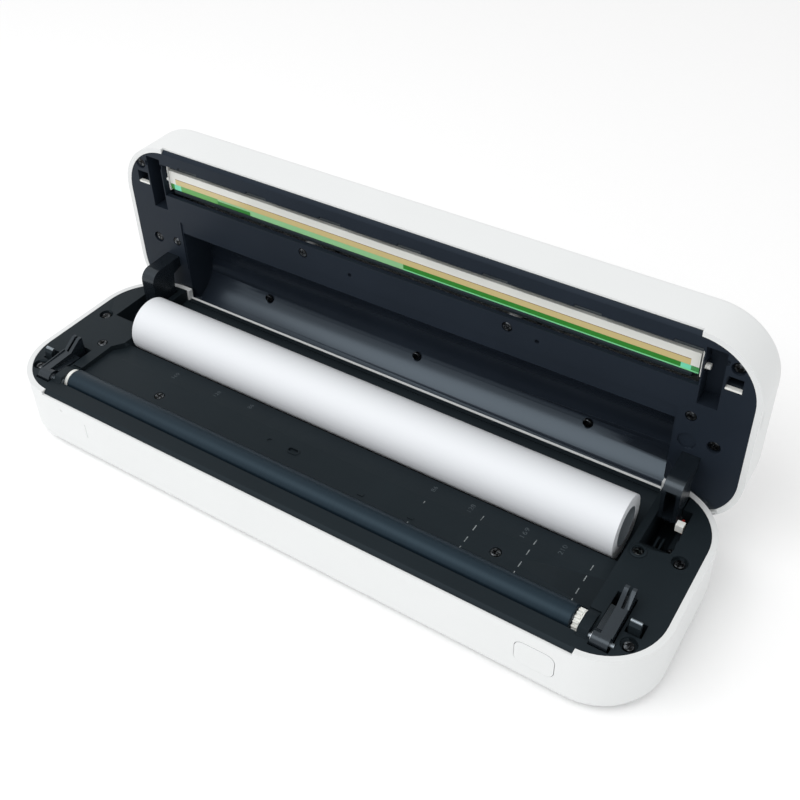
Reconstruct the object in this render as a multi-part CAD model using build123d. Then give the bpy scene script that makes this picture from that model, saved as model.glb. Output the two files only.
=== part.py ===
"""A4 portable thermal printer, lid open, built piece by piece in millimetres.

X runs along the paper's width, Y from front to back, Z up. The origin is the middle of the base
shell's flat underside, which the rubber feet stand proud of. Every piece of the base is drawn with
z = 0 on the deck's top face. Every piece of the lid is drawn shut, with z = 0 on the lid's
parting plane, and open_lid() swings it to the open position that the printer is shown in.
"""
import os
from math import acos, atan2, cos, degrees, hypot, pi, radians, sin, sqrt, tan, tau

from build123d import *

# ---- driving dimensions ----
PAPER_W = 215.9          # full-width roll, from which A4 and Letter pages are printed
BODY_W = 83.8            # front to back
BASE_H = 26.2            # base shell, under the parting plane
LID_H = 21.3             # lid shell, over the parting plane
WALL = 2.1               # both shells
SIDE_W = 26.1            # side bay at each end of the paper tray, outer wall included
TRAY_SLACK = 4.05        # tray wall to the roll's end
CORNER_R = 24.5          # plan corner of both shells
BASE_EDGE_R = 4.7        # rounding under the base
LID_EDGE_R = 3.5         # rounding on top of the lid
LID_GAP = 0.3            # parting gap when shut
LID_OPEN = 89.0          # degrees
DECK_T = 1.8             # wall of the deck moulding
PLATE_T = 2.0            # wall of the lid plate
SEAT = 0.1               # moulding to shell, all round
FIT = 0.05               # pin, shaft or screw in its hole, on the radius
RUN = 0.6                # moving piece to the wall beside it

# ---- hinge ----
PIVOT_IN = 7.6           # pivot to the rear outer face
PIVOT_DROP = 7.6         # pivot under the deck's top
HINGE_PIN_R = 1.5
KNUCKLE_R = 3.1
ARM_W = 6.6
ARM_REACH = 23.3         # pivot to the front of the gooseneck, lid shut
ARM_DEPTH = 9.5          # pivot to the underside of the gooseneck, lid shut
ARM_NECK = 5.0           # front to back where the gooseneck joins the lid
ARM_WALL = 1.4
POCKET_DEPTH = 18.0

# ---- paper path ----
PLATEN_R = 5.0
PLATEN_IN = 13.6         # platen axis to the front outer face
PLATEN_DROP = 2.5        # platen axis under the deck's top
PLATEN_CORE_R = 2.5
PLATEN_JOURNAL_R = 1.6
BUSH_R = 2.6
BUSH_FLANGE_R = 4.4
BUSH_FLANGE_T = 1.4      # left bush, which the rubber runs beside
TRAY_DROP = 2.0          # front floor of the tray
TRAY_FLOOR_W = 13.5      # front floor, front to back
TROUGH_DROP = 11.0
APRON_DROP = 2.9         # where the sloping floor behind the ridge ends and the trough begins
APRON_IN = 12.3          # from there to the roll's axis
LEDGE_DROP = 5.0         # ledge behind the trough
LEDGE_W = 4.9
REAR_SLOT_DROP = 4.5     # rear rim of the base, where blank paper can be fed in
ROLL_R = 11.7
ROLL_BORE_R = 7.2
ROLL_BORE_L = 5.0
ROLL_SHIFT = 0.7         # the roll lies a little to the right
ROLL_IN = 29.0           # roll axis to the rear outer face
SOFT_GAP = 0.3           # roll to the trough
LID_ROOM_R = 19.5        # paper room in the lid
LID_ROOM_IN = 25.4       # its axis to the rear outer face
LID_ROOM_DROP = 4.2      # its axis under the parting plane
LIP_IN = 0.9             # front lip of the deck and the lid plate, back from the outer face
LIP_H = 1.5

# ---- gears ----
MODULE = 0.5
PRESSURE_ANGLE = 20.0
BACKLASH = 0.12
ADDENDUM = 0.8           # stub teeth, in modules
DEDENDUM = 1.1
PLATEN_TEETH = 16
IDLER_TEETH = 22
PINION_TEETH = 14
GEAR_W = 1.9
MOTOR_R = 7.5
MOTOR_L = 13.0
MOTOR_LIFT = 1.5         # motor can over the shell's floor
MOTOR_SHAFT_R = 1.0
MOTOR_BOSS_R = 2.6       # boss that centres the motor in its bracket
IDLER_PIN_R = 1.0

# ---- print head, measured on the shut lid ----
HEAD_FACE = 2.5          # ceramic's face over the parting plane
HEAD_TRAVEL = 0.8
WINDOW_W = 14.8
WINDOW_IN = 7.5          # window's front edge to the front outer face

# ---- fasteners and small pieces ----
SCREW_R = 1.1
SCREW_HEAD_R = 1.9
SCREW_HEAD_H = 1.2
SCREW_L = 8.0
SCREW_SINK = 0.5         # corner screws, top of the head under the surface
HEAD_SEAT = 1.05         # other screws, underside of the head under the surface
DOME_R = 3.0             # dome round one of the deck's screws
DOME_H = 0.7
BOSS_R = 2.6
FOOT_R = 5.5
FOOT_PROUD = 1.0
FOOT_SUNK = 0.8
LEVER_R = 3.0
LEVER_PIN_R = 1.0
LEVER_DROP = 0.4         # lever axis under the deck's top
LEVER_AHEAD = 4.5        # lever axis in front of the platen's
LEVER_POCKET_DEPTH = 7.5
LEVER_SPRING_R = 1.9
BUTTON_W = 14.0
BUTTON_H = 10.5
BUTTON_R = 3.0
BUTTON_GAP = 0.2
PORT_W = 9.0
PORT_H = 3.2
BRACKET_T = 1.2
BOARD_T = 1.4
THIN = 1.2               # pocket walls under the deck and behind the lid plate

# ---- worked-out places ----
TRAY_X = PAPER_W / 2 + TRAY_SLACK
END_X = TRAY_X + SIDE_W
BODY_L = 2 * END_X
FRONT = -BODY_W / 2
REAR = BODY_W / 2
INNER_L = BODY_L - 2 * WALL
INNER_W = BODY_W - 2 * WALL
INNER_R = CORNER_R - WALL
FLOOR_Z = WALL - BASE_H
DECK_Z = BASE_H

PLATEN_Y = FRONT + PLATEN_IN
WELL_R = PLATEN_R + RUN
WELL_REAR = PLATEN_Y + WELL_R
RIDGE_Y = WELL_REAR + TRAY_FLOOR_W
LEDGE_Y = REAR - LEDGE_W
REAR_LIP_Y = REAR - 1.1
REAR_LIP_T = 0.9
CHEEK_W = 3.2            # step at the left end of the tray, beside the roll
CHEEK_FRONT = RIDGE_Y + 2.6
ROLL_Y = REAR - ROLL_IN
ROLL_Z = ROLL_R + SOFT_GAP - TROUGH_DROP

PIVOT_Y = REAR - PIVOT_IN
ARM_X = TRAY_X + 3.3
POCKET_X = TRAY_X + 2.8
POCKET_FRONT = PIVOT_Y - ARM_REACH - RUN - 0.2
POCKET_REAR = PIVOT_Y + KNUCKLE_R + 0.3
WIRE_BAY_X = ARM_X + ARM_W + 0.3
WIRE_BAY_END = TRAY_X + 13.7
WIRE_BAY_REAR = PIVOT_Y - KNUCKLE_R
WIRE_BAY_DEPTH = 9.0
LEAD_X = WIRE_BAY_X + 1.4
LEAD_Y = WIRE_BAY_REAR - 6.8
BAY_SCREWS = [(WIRE_BAY_X + 1.8, POCKET_FRONT + 2.6), (WIRE_BAY_X + 1.8, POCKET_FRONT + 7.4)]
PIN_END = WIRE_BAY_END - 0.5

CLIP_X = TRAY_X + 0.2
CLIP_END = TRAY_X + 4.0
CLIP_FRONT = PLATEN_Y - 6.7
CLIP_REAR = PLATEN_Y + 5.1
CLIP_FLOOR = -PLATEN_DROP - 6.1
GEAR_X = TRAY_X - 2.2

LEVER_Y = PLATEN_Y - LEVER_AHEAD
LEVER_X = TRAY_X + 5.3
LEVER_END = TRAY_X + 11.6
SLOT_X = LEVER_X - 0.3
SLOT_END = LEVER_END + 0.4
SLOT_EASE = 0.15         # how much further the lid's slot reaches inwards, past the lever's spring
SLOT_FRONT = LEVER_Y - LEVER_R - RUN
SLOT_REAR = PLATEN_Y + 15.5
HOOK_TOP = 6.4

IDLER_Y = PLATEN_Y
IDLER_Z = -PLATEN_DROP - MODULE * (PLATEN_TEETH + IDLER_TEETH) / 2
PINION_REACH = MODULE * (IDLER_TEETH + PINION_TEETH) / 2
MOTOR_Z = FLOOR_Z + MOTOR_R + MOTOR_LIFT
MOTOR_Y = IDLER_Y + sqrt(PINION_REACH ** 2 - (MOTOR_Z - IDLER_Z) ** 2)
PINION_ANGLE = degrees(atan2(MOTOR_Z - IDLER_Z, MOTOR_Y - IDLER_Y))
BRACKET_X = TRAY_X - 4.6
PLATEN_PHASE = -90.0
IDLER_PHASE = 90.0 + 180.0 / IDLER_TEETH

WINDOW_X = TRAY_X + 4.4
WINDOW_FRONT = FRONT + WINDOW_IN
WINDOW_REAR = WINDOW_FRONT + WINDOW_W
LIP_X = TRAY_X + 2.7
REAR_SLOT_X = TRAY_X - 1.2
LID_ROOM_X = TRAY_X - 1.5
LID_ROOM_Y = REAR - LID_ROOM_IN

BUTTON_X = TRAY_X - 9.5
BUTTON_Z = -12.0

# screws and catches, as places on the deck or on the lid plate
DECK_SCREWS = [(TRAY_X + 17.6, PIVOT_Y - 26.0), (TRAY_X + 16.1, PLATEN_Y - 1.6)]
SILVER_SCREW = (-TRAY_X - 4.7, PLATEN_Y + 21.5)
DOME_SCREW = (TRAY_X + 4.0, POCKET_FRONT - 4.5)
FLOOR_SCREWS = (TRAY_X - 36.7, RIDGE_Y - 8.6)
CATCH_X = TRAY_X + 15.7
CATCH_Y = PLATEN_Y + 5.0
CATCH_W = 5.7
CATCH_DEPTH = 6.6
LID_CATCH_Y = CATCH_Y - 1.7
LATCH_TOP = 4.2
LATCH_REAR = LID_CATCH_Y + CATCH_W / 2 - 1.3
LATCH_FRONT = LATCH_REAR - 2.2
LATCH_W = 3.8
LATCH_PIN_R = 0.7
CORNER_SCREW = (INNER_R - SCREW_HEAD_R - SEAT) * sqrt(0.5)
LID_SCREWS = [(END_X - CORNER_R + CORNER_SCREW, FRONT + CORNER_R - CORNER_SCREW),
              (TRAY_X + 13.4, PIVOT_Y - 30.1)]
PANEL_SCREWS = [(-45.5, WINDOW_REAR + 4.3), (45.5, WINDOW_REAR + 4.3), (-TRAY_X - 2.8, PIVOT_Y - 31.1),
                (TRAY_X + 3.9, PIVOT_Y - 40.0)]
ROOM_SCREWS = (-76.8, -0.8, 75.4)
ROOM_SCREW_OUT = 10.4    # back from the middle of the lid's paper room
ROOM_SCREW_Y = LID_ROOM_Y + ROOM_SCREW_OUT
ROOM_SCREW_Z = sqrt(LID_ROOM_R ** 2 - ROOM_SCREW_OUT ** 2) - LID_ROOM_DROP - SCREW_HEAD_H
NOTCH_W = 10.0
FLOOR_NIBS = (22.0, 43.0)
PANEL_HOLES = [(-23.2, WINDOW_REAR + 6.8), (57.6, WINDOW_REAR + 6.1)]
PANEL_HOLE_R = 0.9
EDGE_NOTCHES = [TRAY_X - 1.0 - 35.5 * step for step in range(7)]
FEET = [(sx * (END_X - 26.0), sy * (REAR - 12.5)) for sx in (-1, 1) for sy in (-1, 1)]

# sensor, lights, port and boards
SENSOR_EYE_X = -22.7
SENSOR_EYE_R = 0.9
SENSOR_WINDOW_X = -11.6
SENSOR_Y = RIDGE_Y - 5.7
SWITCH_Y = FRONT + WALL + 2.5
BUTTON_BOARD_Y = SWITCH_Y + 2.9
LIGHT_X = -TRAY_X + 6.5
LIGHT_Z = -5.7
LIGHT_R = 0.7
STRIP_X = -TRAY_X + 19.0
STRIP_W = 0.6
STRIP_LOW = -14.0
STRIP_HIGH = -7.0
PORT_Y = PLATEN_Y + 22.3
PORT_Z = -14.0
PORT_BOARD_Z = PORT_Z - 2.9
PORT_POSTS = [(-END_X + 6.5, PORT_Y - 4.5), (-END_X + 6.5, PORT_Y + 4.5), (-END_X + 15.5, PORT_Y)]
BOARD_X0 = 12.0
BOARD_X1 = TRAY_X - 22.0
BOARD_Y0 = ROLL_Y - 20.0
BOARD_Y1 = ROLL_Y + 21.0
BOARD_Z = FLOOR_Z + 3.6
STANDOFF_R = 2.2
PORT_POST_R = 2.0
STANDOFF_IN = 4          # standoffs, in from the main board's edges
# the main board's larger parts: place along X, place behind the roll's axis, length, width, height
CHIPS = [(26.0, -3.0, 12.0, 12.0, 1.2), (48.0, 4.0, 9.0, 9.0, 1.2), (68.0, -6.0, 7.0, 5.0, 2.0),
         (70.0, 8.0, 6.0, 6.0, 3.2)]
BATTERY_X0 = -TRAY_X + 20.0
BATTERY_X1 = 2.0
BATTERY_Y0 = ROLL_Y - 20.0
BATTERY_Y1 = ROLL_Y + 18.0

# print head
HEAD_X = TRAY_X + 3.4
CERAMIC_AHEAD = 2.5      # ceramic's front edge in front of the platen's axis
CERAMIC_W = 6.0
CERAMIC_T = 1.5
HEAD_BOARD_W = 2.7
HEAD_PIN_R = 1.2
SPRING_R = 2.6
SPRING_BORE_R = 1.9
PIN_Y = PLATEN_Y + 3.0
BAR_BACK = 8.5
SPRING_X = (-75.0, -25.0, 25.0, 75.0)


# ---- small makers ----
def block(x0, x1, y0, y1, z0, z1):
    """A box between two corners."""
    middle = Pos((x0 + x1) / 2, (y0 + y1) / 2, (z0 + z1) / 2)
    return middle * Box(abs(x1 - x0), abs(y1 - y0), abs(z1 - z0))


def rod(r, x0, x1, y, z):
    """A cylinder along X."""
    return Pos((x0 + x1) / 2, y, z) * Rot(0, 90, 0) * Cylinder(r, abs(x1 - x0))


def post(r, x, y, z0, z1):
    """A cylinder along Z."""
    return Pos(x, y, (z0 + z1) / 2) * Cylinder(r, abs(z1 - z0))


def plug(r, x, z, y0, y1):
    """A cylinder along Y."""
    return Pos(x, (y0 + y1) / 2, z) * Rot(90, 0, 0) * Cylinder(r, abs(y1 - y0))


def slab(length, width, r, z0, z1):
    """A plate with rounded plan corners, centred on the Z axis."""
    return Pos(0, 0, z0) * extrude(RectangleRounded(length, width, r), z1 - z0)


def along_x(outline, x0, x1):
    """A flat outline in Y and Z, pushed along X."""
    return extrude(Plane.YZ.offset(min(x0, x1)) * outline, abs(x1 - x0))


def polygon(*points):
    return make_face(Polyline(*points, close=True))


def both_sides(piece):
    """A piece and its mirror image across the middle of the printer."""
    return piece + mirror(piece, Plane.YZ)


def pieces(*solids):
    """Separate solids that share one node."""
    return Compound(children=[s for item in solids for s in item.solids()])


def screw(x, y, z, length):
    """A pan-head screw with a cross recess; z is the underside of its head."""
    head = post(SCREW_HEAD_R, x, y, z, z + SCREW_HEAD_H)
    head = fillet(head.faces().sort_by(Axis.Z)[-1].edges(), SCREW_HEAD_H * 0.4)
    top = z + SCREW_HEAD_H
    cross = block(x - 1.1, x + 1.1, y - 0.2, y + 0.2, top - 0.6, top + 0.1)
    cross += block(x - 0.2, x + 0.2, y - 1.1, y + 1.1, top - 0.6, top + 0.1)
    return head + post(SCREW_R, x, y, z - length, z) - cross


def inside(z0, z1):
    """The room inside either shell, less the seat clearance."""
    return slab(INNER_L - 2 * SEAT, INNER_W - 2 * SEAT, INNER_R - SEAT, z0, z1)


# ---- base: shell ----
def base_shell():
    outer = slab(BODY_L, BODY_W, CORNER_R, -BASE_H, 0)
    outer = fillet(outer.faces().sort_by(Axis.Z)[0].edges(), BASE_EDGE_R)
    hollow = slab(INNER_L, INNER_W, INNER_R, FLOOR_Z, 1)
    hollow = fillet(hollow.faces().sort_by(Axis.Z)[0].edges(), BASE_EDGE_R - WALL)
    shell = outer - hollow
    shell -= block(-LIP_X, LIP_X, FRONT - 1, FRONT + WALL + 1, -LIP_H, 1)
    shell -= block(-REAR_SLOT_X, REAR_SLOT_X, REAR - WALL - 1, REAR + 1, -REAR_SLOT_DROP, 1)
    shell -= block(-REAR_SLOT_X, REAR_SLOT_X, REAR - WALL - 1, REAR_LIP_Y, -REAR_SLOT_DROP - REAR_LIP_T, 1)

    # bosses that the deck's screws bite into, and standoffs under the main board
    for x, y in DECK_SCREWS:
        shell += both_sides(post(BOSS_R, x, y, FLOOR_Z - 0.5, -DECK_T - 1.2))
    shell += post(BOSS_R, *SILVER_SCREW, FLOOR_Z - 0.5, -DECK_T)
    shell += post(BOSS_R - 0.5, *DOME_SCREW, FLOOR_Z - 0.5, -DECK_T)
    floor_x, floor_y = FLOOR_SCREWS
    shell += both_sides(post(BOSS_R, floor_x, floor_y, FLOOR_Z - 0.5, -TRAY_DROP - DECK_T))
    for x in (BOARD_X0 + STANDOFF_IN, BOARD_X1 - STANDOFF_IN):
        for y in (BOARD_Y0 + STANDOFF_IN, BOARD_Y1 - STANDOFF_IN):
            shell += post(STANDOFF_R, x, y, FLOOR_Z - 0.5, BOARD_Z)
    for x, y in PORT_POSTS:
        shell += post(PORT_POST_R, x, y, FLOOR_Z - 0.5, PORT_BOARD_Z)
    for x, y in DECK_SCREWS:
        shell -= both_sides(post(SCREW_R + FIT, x, y, FLOOR_Z + 1, 0))
    for x, y in (SILVER_SCREW, DOME_SCREW):
        shell -= post(SCREW_R + FIT, x, y, FLOOR_Z + 1, 0)
    shell -= both_sides(post(SCREW_R + FIT, floor_x, floor_y, FLOOR_Z + 1, 0))

    # openings for the button, the lights and the charging port, and seats for the feet
    shell -= button_plug(BUTTON_GAP, FRONT - 1, FRONT + WALL + 1)
    shell -= plug(LIGHT_R + FIT, LIGHT_X, LIGHT_Z, FRONT - 1, FRONT + WALL + 1)
    shell -= strip(FIT, FRONT - 1, FRONT + WALL + 1)
    shell -= port_plug(0.2, -END_X - 1, -END_X + WALL + 1)
    for x, y in FEET:
        shell -= post(FOOT_R + SEAT, x, y, -BASE_H - 1, -BASE_H + FOOT_SUNK)
    return shell


def rubber_feet():
    feet = []
    for x, y in FEET:
        foot = post(FOOT_R, x, y, -BASE_H - FOOT_PROUD, -BASE_H + FOOT_SUNK)
        feet.append(fillet(foot.faces().sort_by(Axis.Z)[0].edges(), 0.5))
    return pieces(*feet)


# ---- base: deck ----
def tray_outline(top):
    """Section of the paper tray: front floor, ridge, sloping floor, round trough and rear ledge."""
    trough = (ROLL_Y, -TROUGH_DROP)
    ridge = (RIDGE_Y, -TRAY_DROP)
    apron = (ROLL_Y - APRON_IN, -APRON_DROP)
    ledge = (LEDGE_Y, -LEDGE_DROP)
    start = (WELL_REAR, top)
    back = REAR
    edges = Line(start, (WELL_REAR, -TRAY_DROP)) + Line((WELL_REAR, -TRAY_DROP), ridge)
    edges += Line(ridge, apron) + TangentArc(trough, apron, tangent=(-1, 0))
    edges += TangentArc(trough, ledge, tangent=(1, 0))
    edges += Line(ledge, (back, -LEDGE_DROP)) + Line((back, -LEDGE_DROP), (back, top))
    edges += Line((back, top), start)
    return make_face(edges)


def well_outline(top, grow=0.0):
    """Section of the well that the platen runs in."""
    r = WELL_R + grow
    z = -PLATEN_DROP
    edges = Line((PLATEN_Y - r, top), (PLATEN_Y - r, z))
    edges += ThreePointArc((PLATEN_Y - r, z), (PLATEN_Y, z - r), (PLATEN_Y + r, z))
    edges += Line((PLATEN_Y + r, z), (PLATEN_Y + r, top))
    edges += Line((PLATEN_Y + r, top), (PLATEN_Y - r, top))
    return make_face(edges)


def arm_pocket(grow=0.0, top=1.0):
    """Room for the gooseneck, with the wire bay on its outer side."""
    g = grow
    floor = -POCKET_DEPTH - g
    room = block(POCKET_X - g, WIRE_BAY_X + g, POCKET_FRONT - g, POCKET_REAR + g, floor, top)
    bay_floor = -WIRE_BAY_DEPTH - g
    room += block(WIRE_BAY_X - 1, WIRE_BAY_END + g, POCKET_FRONT - g, WIRE_BAY_REAR + g, bay_floor, top)
    return room


def clip_pocket(grow=0.0, top=1.0):
    g = grow
    return block(CLIP_X - g, CLIP_END + SEAT + g, CLIP_FRONT - SEAT - g, CLIP_REAR + SEAT + g,
                 CLIP_FLOOR - g, top)


def lever_pocket(grow=0.0, top=1.0):
    g = grow
    return block(SLOT_X - g, SLOT_END + g, SLOT_FRONT - g, SLOT_REAR + g, -LEVER_POCKET_DEPTH - g, top)


def catch_pocket(grow=0.0, top=1.0):
    g = grow
    h = CATCH_W / 2 + g
    return block(CATCH_X - h, CATCH_X + h, CATCH_Y - h, CATCH_Y + h, -CATCH_DEPTH - g, top)


def base_deck():
    skin = DECK_T
    deck = slab(INNER_L, INNER_W, INNER_R, -DECK_T, 0)
    tray = tray_outline(0)
    deck += along_x(offset(tray, skin), -TRAY_X - skin, TRAY_X + skin)
    deck += along_x(well_outline(0, skin), -CLIP_X - THIN, CLIP_X + THIN)
    for room in (arm_pocket, clip_pocket, lever_pocket, catch_pocket):
        deck += both_sides(room(THIN, 0))
    for x, y in DECK_SCREWS:
        deck += both_sides(post(BOSS_R + 0.9, x, y, -DECK_T - 1.2, 0))
    hinge_ear = block(WIRE_BAY_X, PIN_END + 0.6, WIRE_BAY_REAR, POCKET_REAR, -PIVOT_DROP - 3.5, 0)
    deck += both_sides(hinge_ear)
    deck &= inside(-BASE_H, 0)

    # the front lip laps over the shell's wall
    lip = polygon((FRONT + WALL + 1.5, 0), (FRONT + WALL + 0.3, 0), (FRONT + LIP_IN + 0.35, -0.65),
                  (FRONT + LIP_IN, -LIP_H + 0.3), (FRONT + LIP_IN, -LIP_H), (FRONT + WALL + 1.5, -LIP_H))
    deck += along_x(lip, -LIP_X + 0.2, LIP_X - 0.2)

    # hollows: tray with its left cheek left standing, well, pockets and the gear's slot
    room = along_x(tray_outline(1), -TRAY_X, TRAY_X)
    foot = (-TRAY_X - 1, CHEEK_FRONT - 1.5)
    nose = (-TRAY_X + CHEEK_W, CHEEK_FRONT + 4.6)
    plan = polygon(foot, nose, (-TRAY_X + CHEEK_W, POCKET_FRONT), (-TRAY_X - 1, POCKET_FRONT))
    cheek = Pos(0, 0, -TROUGH_DROP - 1) * extrude(plan, TROUGH_DROP + 1)
    deck -= room - cheek
    lip_x = REAR_SLOT_X - SEAT
    lip_under = -REAR_SLOT_DROP - REAR_LIP_T + SEAT
    deck += block(-lip_x, lip_x, REAR - WALL - 1, REAR_LIP_Y - SEAT, lip_under, -REAR_SLOT_DROP)
    deck -= along_x(well_outline(1), -CLIP_X, CLIP_X)
    for hollow in (arm_pocket, clip_pocket, lever_pocket, catch_pocket):
        deck -= both_sides(hollow())
    slot = MODULE * IDLER_TEETH / 2 + 0.9
    deck -= block(GEAR_X - 0.3, CLIP_X + 0.1, IDLER_Y - slot, IDLER_Y + slot, IDLER_Z, -PLATEN_DROP - 3)

    # ribs in the right-hand pocket, clear of the hollow gooseneck that shuts over them
    for x in (ARM_X + 2.5, ARM_X + 4.3):
        deck += block(x, x + 0.7, PIVOT_Y - 19.1, PIVOT_Y - 12.8, -POCKET_DEPTH - 0.5, -PIVOT_DROP + 0.8)

    # holes for pins and screws
    deck -= both_sides(rod(HINGE_PIN_R + FIT, POCKET_X - 1.4, PIN_END + 0.1, PIVOT_Y, -PIVOT_DROP))
    deck -= both_sides(rod(LEVER_PIN_R + FIT, CLIP_END, SLOT_END + 0.7, LEVER_Y, -LEVER_DROP))
    for x, y in DECK_SCREWS:
        deck -= both_sides(post(SCREW_HEAD_R + 1.0, x, y, -SCREW_HEAD_H - SCREW_SINK, 1))
        deck -= both_sides(post(SCREW_R + 0.2, x, y, -5, 1))
    deck -= post(SCREW_HEAD_R + 0.2, *SILVER_SCREW, -HEAD_SEAT, 1)
    deck -= post(SCREW_R + 0.2, *SILVER_SCREW, -5, 1)
    dome = fillet(post(DOME_R, *DOME_SCREW, -0.5, DOME_H).faces().sort_by(Axis.Z)[-1].edges(), 0.6)
    deck += dome
    deck -= post(SCREW_HEAD_R + 0.2, *DOME_SCREW, -HEAD_SEAT, 1)
    deck -= post(SCREW_R + 0.2, *DOME_SCREW, -5, 1)
    for x, y in BAY_SCREWS:
        deck -= post(SCREW_R + FIT, x, y, -WIRE_BAY_DEPTH - 2, 1 - WIRE_BAY_DEPTH)
        deck -= post(SCREW_HEAD_R + 0.1, x, y, -WIRE_BAY_DEPTH, 0)
    floor_x, floor_y = FLOOR_SCREWS
    deck -= both_sides(post(SCREW_HEAD_R + 0.2, floor_x, floor_y, -TRAY_DROP - HEAD_SEAT, 1))
    deck -= both_sides(post(SCREW_R + 0.2, floor_x, floor_y, -9, 1))

    # paper sensor: a small eye and an oval window with a raised rim
    floor = -TRAY_DROP
    rim = Pos(SENSOR_WINDOW_X, SENSOR_Y, floor) * extrude(SlotOverall(5.4, 3.2), 0.35)
    deck += rim
    deck -= Pos(SENSOR_WINDOW_X, SENSOR_Y, floor - 3) * extrude(SlotOverall(4.2, 2.0), 5)
    deck -= post(SENSOR_EYE_R, SENSOR_EYE_X, SENSOR_Y, floor - 3, 0)
    for x in FLOOR_NIBS:
        deck += block(x - 1.2, x + 1.2, WELL_REAR + 2.2, WELL_REAR + 3.4, floor - 0.2, floor + 0.3)
    return deck


def paper_sensor():
    """Reflective sensor under the tray floor, its eye standing in the hole."""
    under = -TRAY_DROP - DECK_T
    x0 = SENSOR_EYE_X - 3.5
    x1 = SENSOR_WINDOW_X + 3.5
    body = block(x0, x1, SENSOR_Y - 2.8, SENSOR_Y + 2.8, under - 3.6, under)
    body += post(SENSOR_EYE_R - FIT, SENSOR_EYE_X, SENSOR_Y, under - 1, -TRAY_DROP - 0.3)
    body += Pos(SENSOR_WINDOW_X, SENSOR_Y, under - 1) * extrude(SlotOverall(4.0, 1.8), DECK_T + 0.5)
    return body


def deck_screws():
    screws = []
    for x, y in DECK_SCREWS:
        for side in (-1, 1):
            screws.append(screw(side * x, y, -SCREW_HEAD_H - SCREW_SINK, SCREW_L))
    screws.append(screw(*SILVER_SCREW, -HEAD_SEAT, SCREW_L))
    screws.append(screw(*DOME_SCREW, -HEAD_SEAT, SCREW_L))
    return pieces(*screws)


def floor_screws():
    x, y = FLOOR_SCREWS
    return pieces(*[screw(side * x, y, -TRAY_DROP - HEAD_SEAT, SCREW_L) for side in (-1, 1)])


# ---- base: platen and its bearings ----
def platen_shaft():
    journal_end = CLIP_END - 0.1
    shaft = rod(PLATEN_CORE_R, -TRAY_X + BUSH_FLANGE_T + 0.1, GEAR_X - 0.1, PLATEN_Y, -PLATEN_DROP)
    shaft += rod(PLATEN_JOURNAL_R, -journal_end, journal_end, PLATEN_Y, -PLATEN_DROP)
    return shaft


def platen_rubber():
    tube = rod(PLATEN_R, -TRAY_X + BUSH_FLANGE_T + 0.2, GEAR_X - 0.5, PLATEN_Y, -PLATEN_DROP)
    tube = chamfer(tube.edges().filter_by(GeomType.CIRCLE), 0.4)
    return tube - rod(PLATEN_CORE_R + FIT, -TRAY_X - 2, GEAR_X + 1, PLATEN_Y, -PLATEN_DROP)


def bush(side):
    """White flanged bush that a journal of the platen turns in."""
    flange_t = BUSH_FLANGE_T if side < 0 else 0.3
    bush_z = -PLATEN_DROP
    ring = rod(BUSH_R, side * (CLIP_X - 0.2), side * (CLIP_END - 0.1), PLATEN_Y, bush_z)
    ring += rod(BUSH_FLANGE_R, side * (CLIP_X - flange_t), side * (CLIP_X + 0.1), PLATEN_Y, bush_z)
    return ring - rod(PLATEN_JOURNAL_R + FIT, side * (CLIP_X - 2), side * (CLIP_END + 1), PLATEN_Y, bush_z)


def platen_clip(side):
    """Bearing block: holds the bush and the inner end of the lever's pin."""
    outline = polygon((CLIP_FRONT, CLIP_FLOOR), (CLIP_FRONT, 0.0), (CLIP_FRONT + 0.9, 0.0),
                      (CLIP_FRONT + 1.9, 2.0), (PLATEN_Y + 1.0, 2.0), (CLIP_REAR, -0.4),
                      (CLIP_REAR, CLIP_FLOOR))
    clip = along_x(outline, side * (CLIP_X + 0.15), side * CLIP_END)
    clip -= rod(BUSH_R + FIT, side * (CLIP_X - 1), side * (CLIP_END + 1), PLATEN_Y, -PLATEN_DROP)
    return clip - rod(LEVER_PIN_R + FIT, side * (CLIP_X - 1), side * (CLIP_END + 1), LEVER_Y, -LEVER_DROP)


# ---- base: gear train and motor ----
def gear(teeth, phase, bore, x, y, z):
    """Spur gear with involute flanks; phase is the angle of one tooth's middle."""
    pitch_r = MODULE * teeth / 2
    base_r = pitch_r * cos(radians(PRESSURE_ANGLE))
    tip_r = pitch_r + ADDENDUM * MODULE
    root_r = pitch_r - DEDENDUM * MODULE
    start_r = max(base_r, root_r)

    def involute(r):
        angle = acos(min(1.0, base_r / r))
        return tan(angle) - angle

    def half_tooth(r):
        return pi / (2 * teeth) - BACKLASH / (2 * pitch_r) + involute(pitch_r) - involute(r)

    radii = [start_r + (tip_r - start_r) * step / 3 for step in range(4)]
    points = []
    for tooth in range(teeth):
        middle = radians(phase) + tooth * tau / teeth
        side = [(root_r, half_tooth(start_r))] + [(r, half_tooth(r)) for r in radii]
        points += [(r * cos(middle - a), r * sin(middle - a)) for r, a in side]
        points += [(r * cos(middle + a), r * sin(middle + a)) for r, a in reversed(side)]
    outline = Pos(y, z) * polygon(*points)
    return along_x(outline, x, x + GEAR_W) - rod(bore + FIT, x - 1, x + GEAR_W + 1, y, z)


def pinion_phase():
    """Puts a gap of the pinion where the idler's nearest tooth stands."""
    pitch = 360.0 / IDLER_TEETH
    ahead = (IDLER_PHASE - PINION_ANGLE) % pitch
    gap = PINION_ANGLE + 180.0 - ahead * IDLER_TEETH / PINION_TEETH
    return gap + 180.0 / PINION_TEETH


def platen_gear():
    return gear(PLATEN_TEETH, PLATEN_PHASE, PLATEN_JOURNAL_R, GEAR_X, PLATEN_Y, -PLATEN_DROP)


def idler_gear():
    return gear(IDLER_TEETH, IDLER_PHASE, IDLER_PIN_R, GEAR_X, IDLER_Y, IDLER_Z)


def motor_pinion():
    return gear(PINION_TEETH, pinion_phase(), MOTOR_SHAFT_R, GEAR_X, MOTOR_Y, MOTOR_Z)


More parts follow.
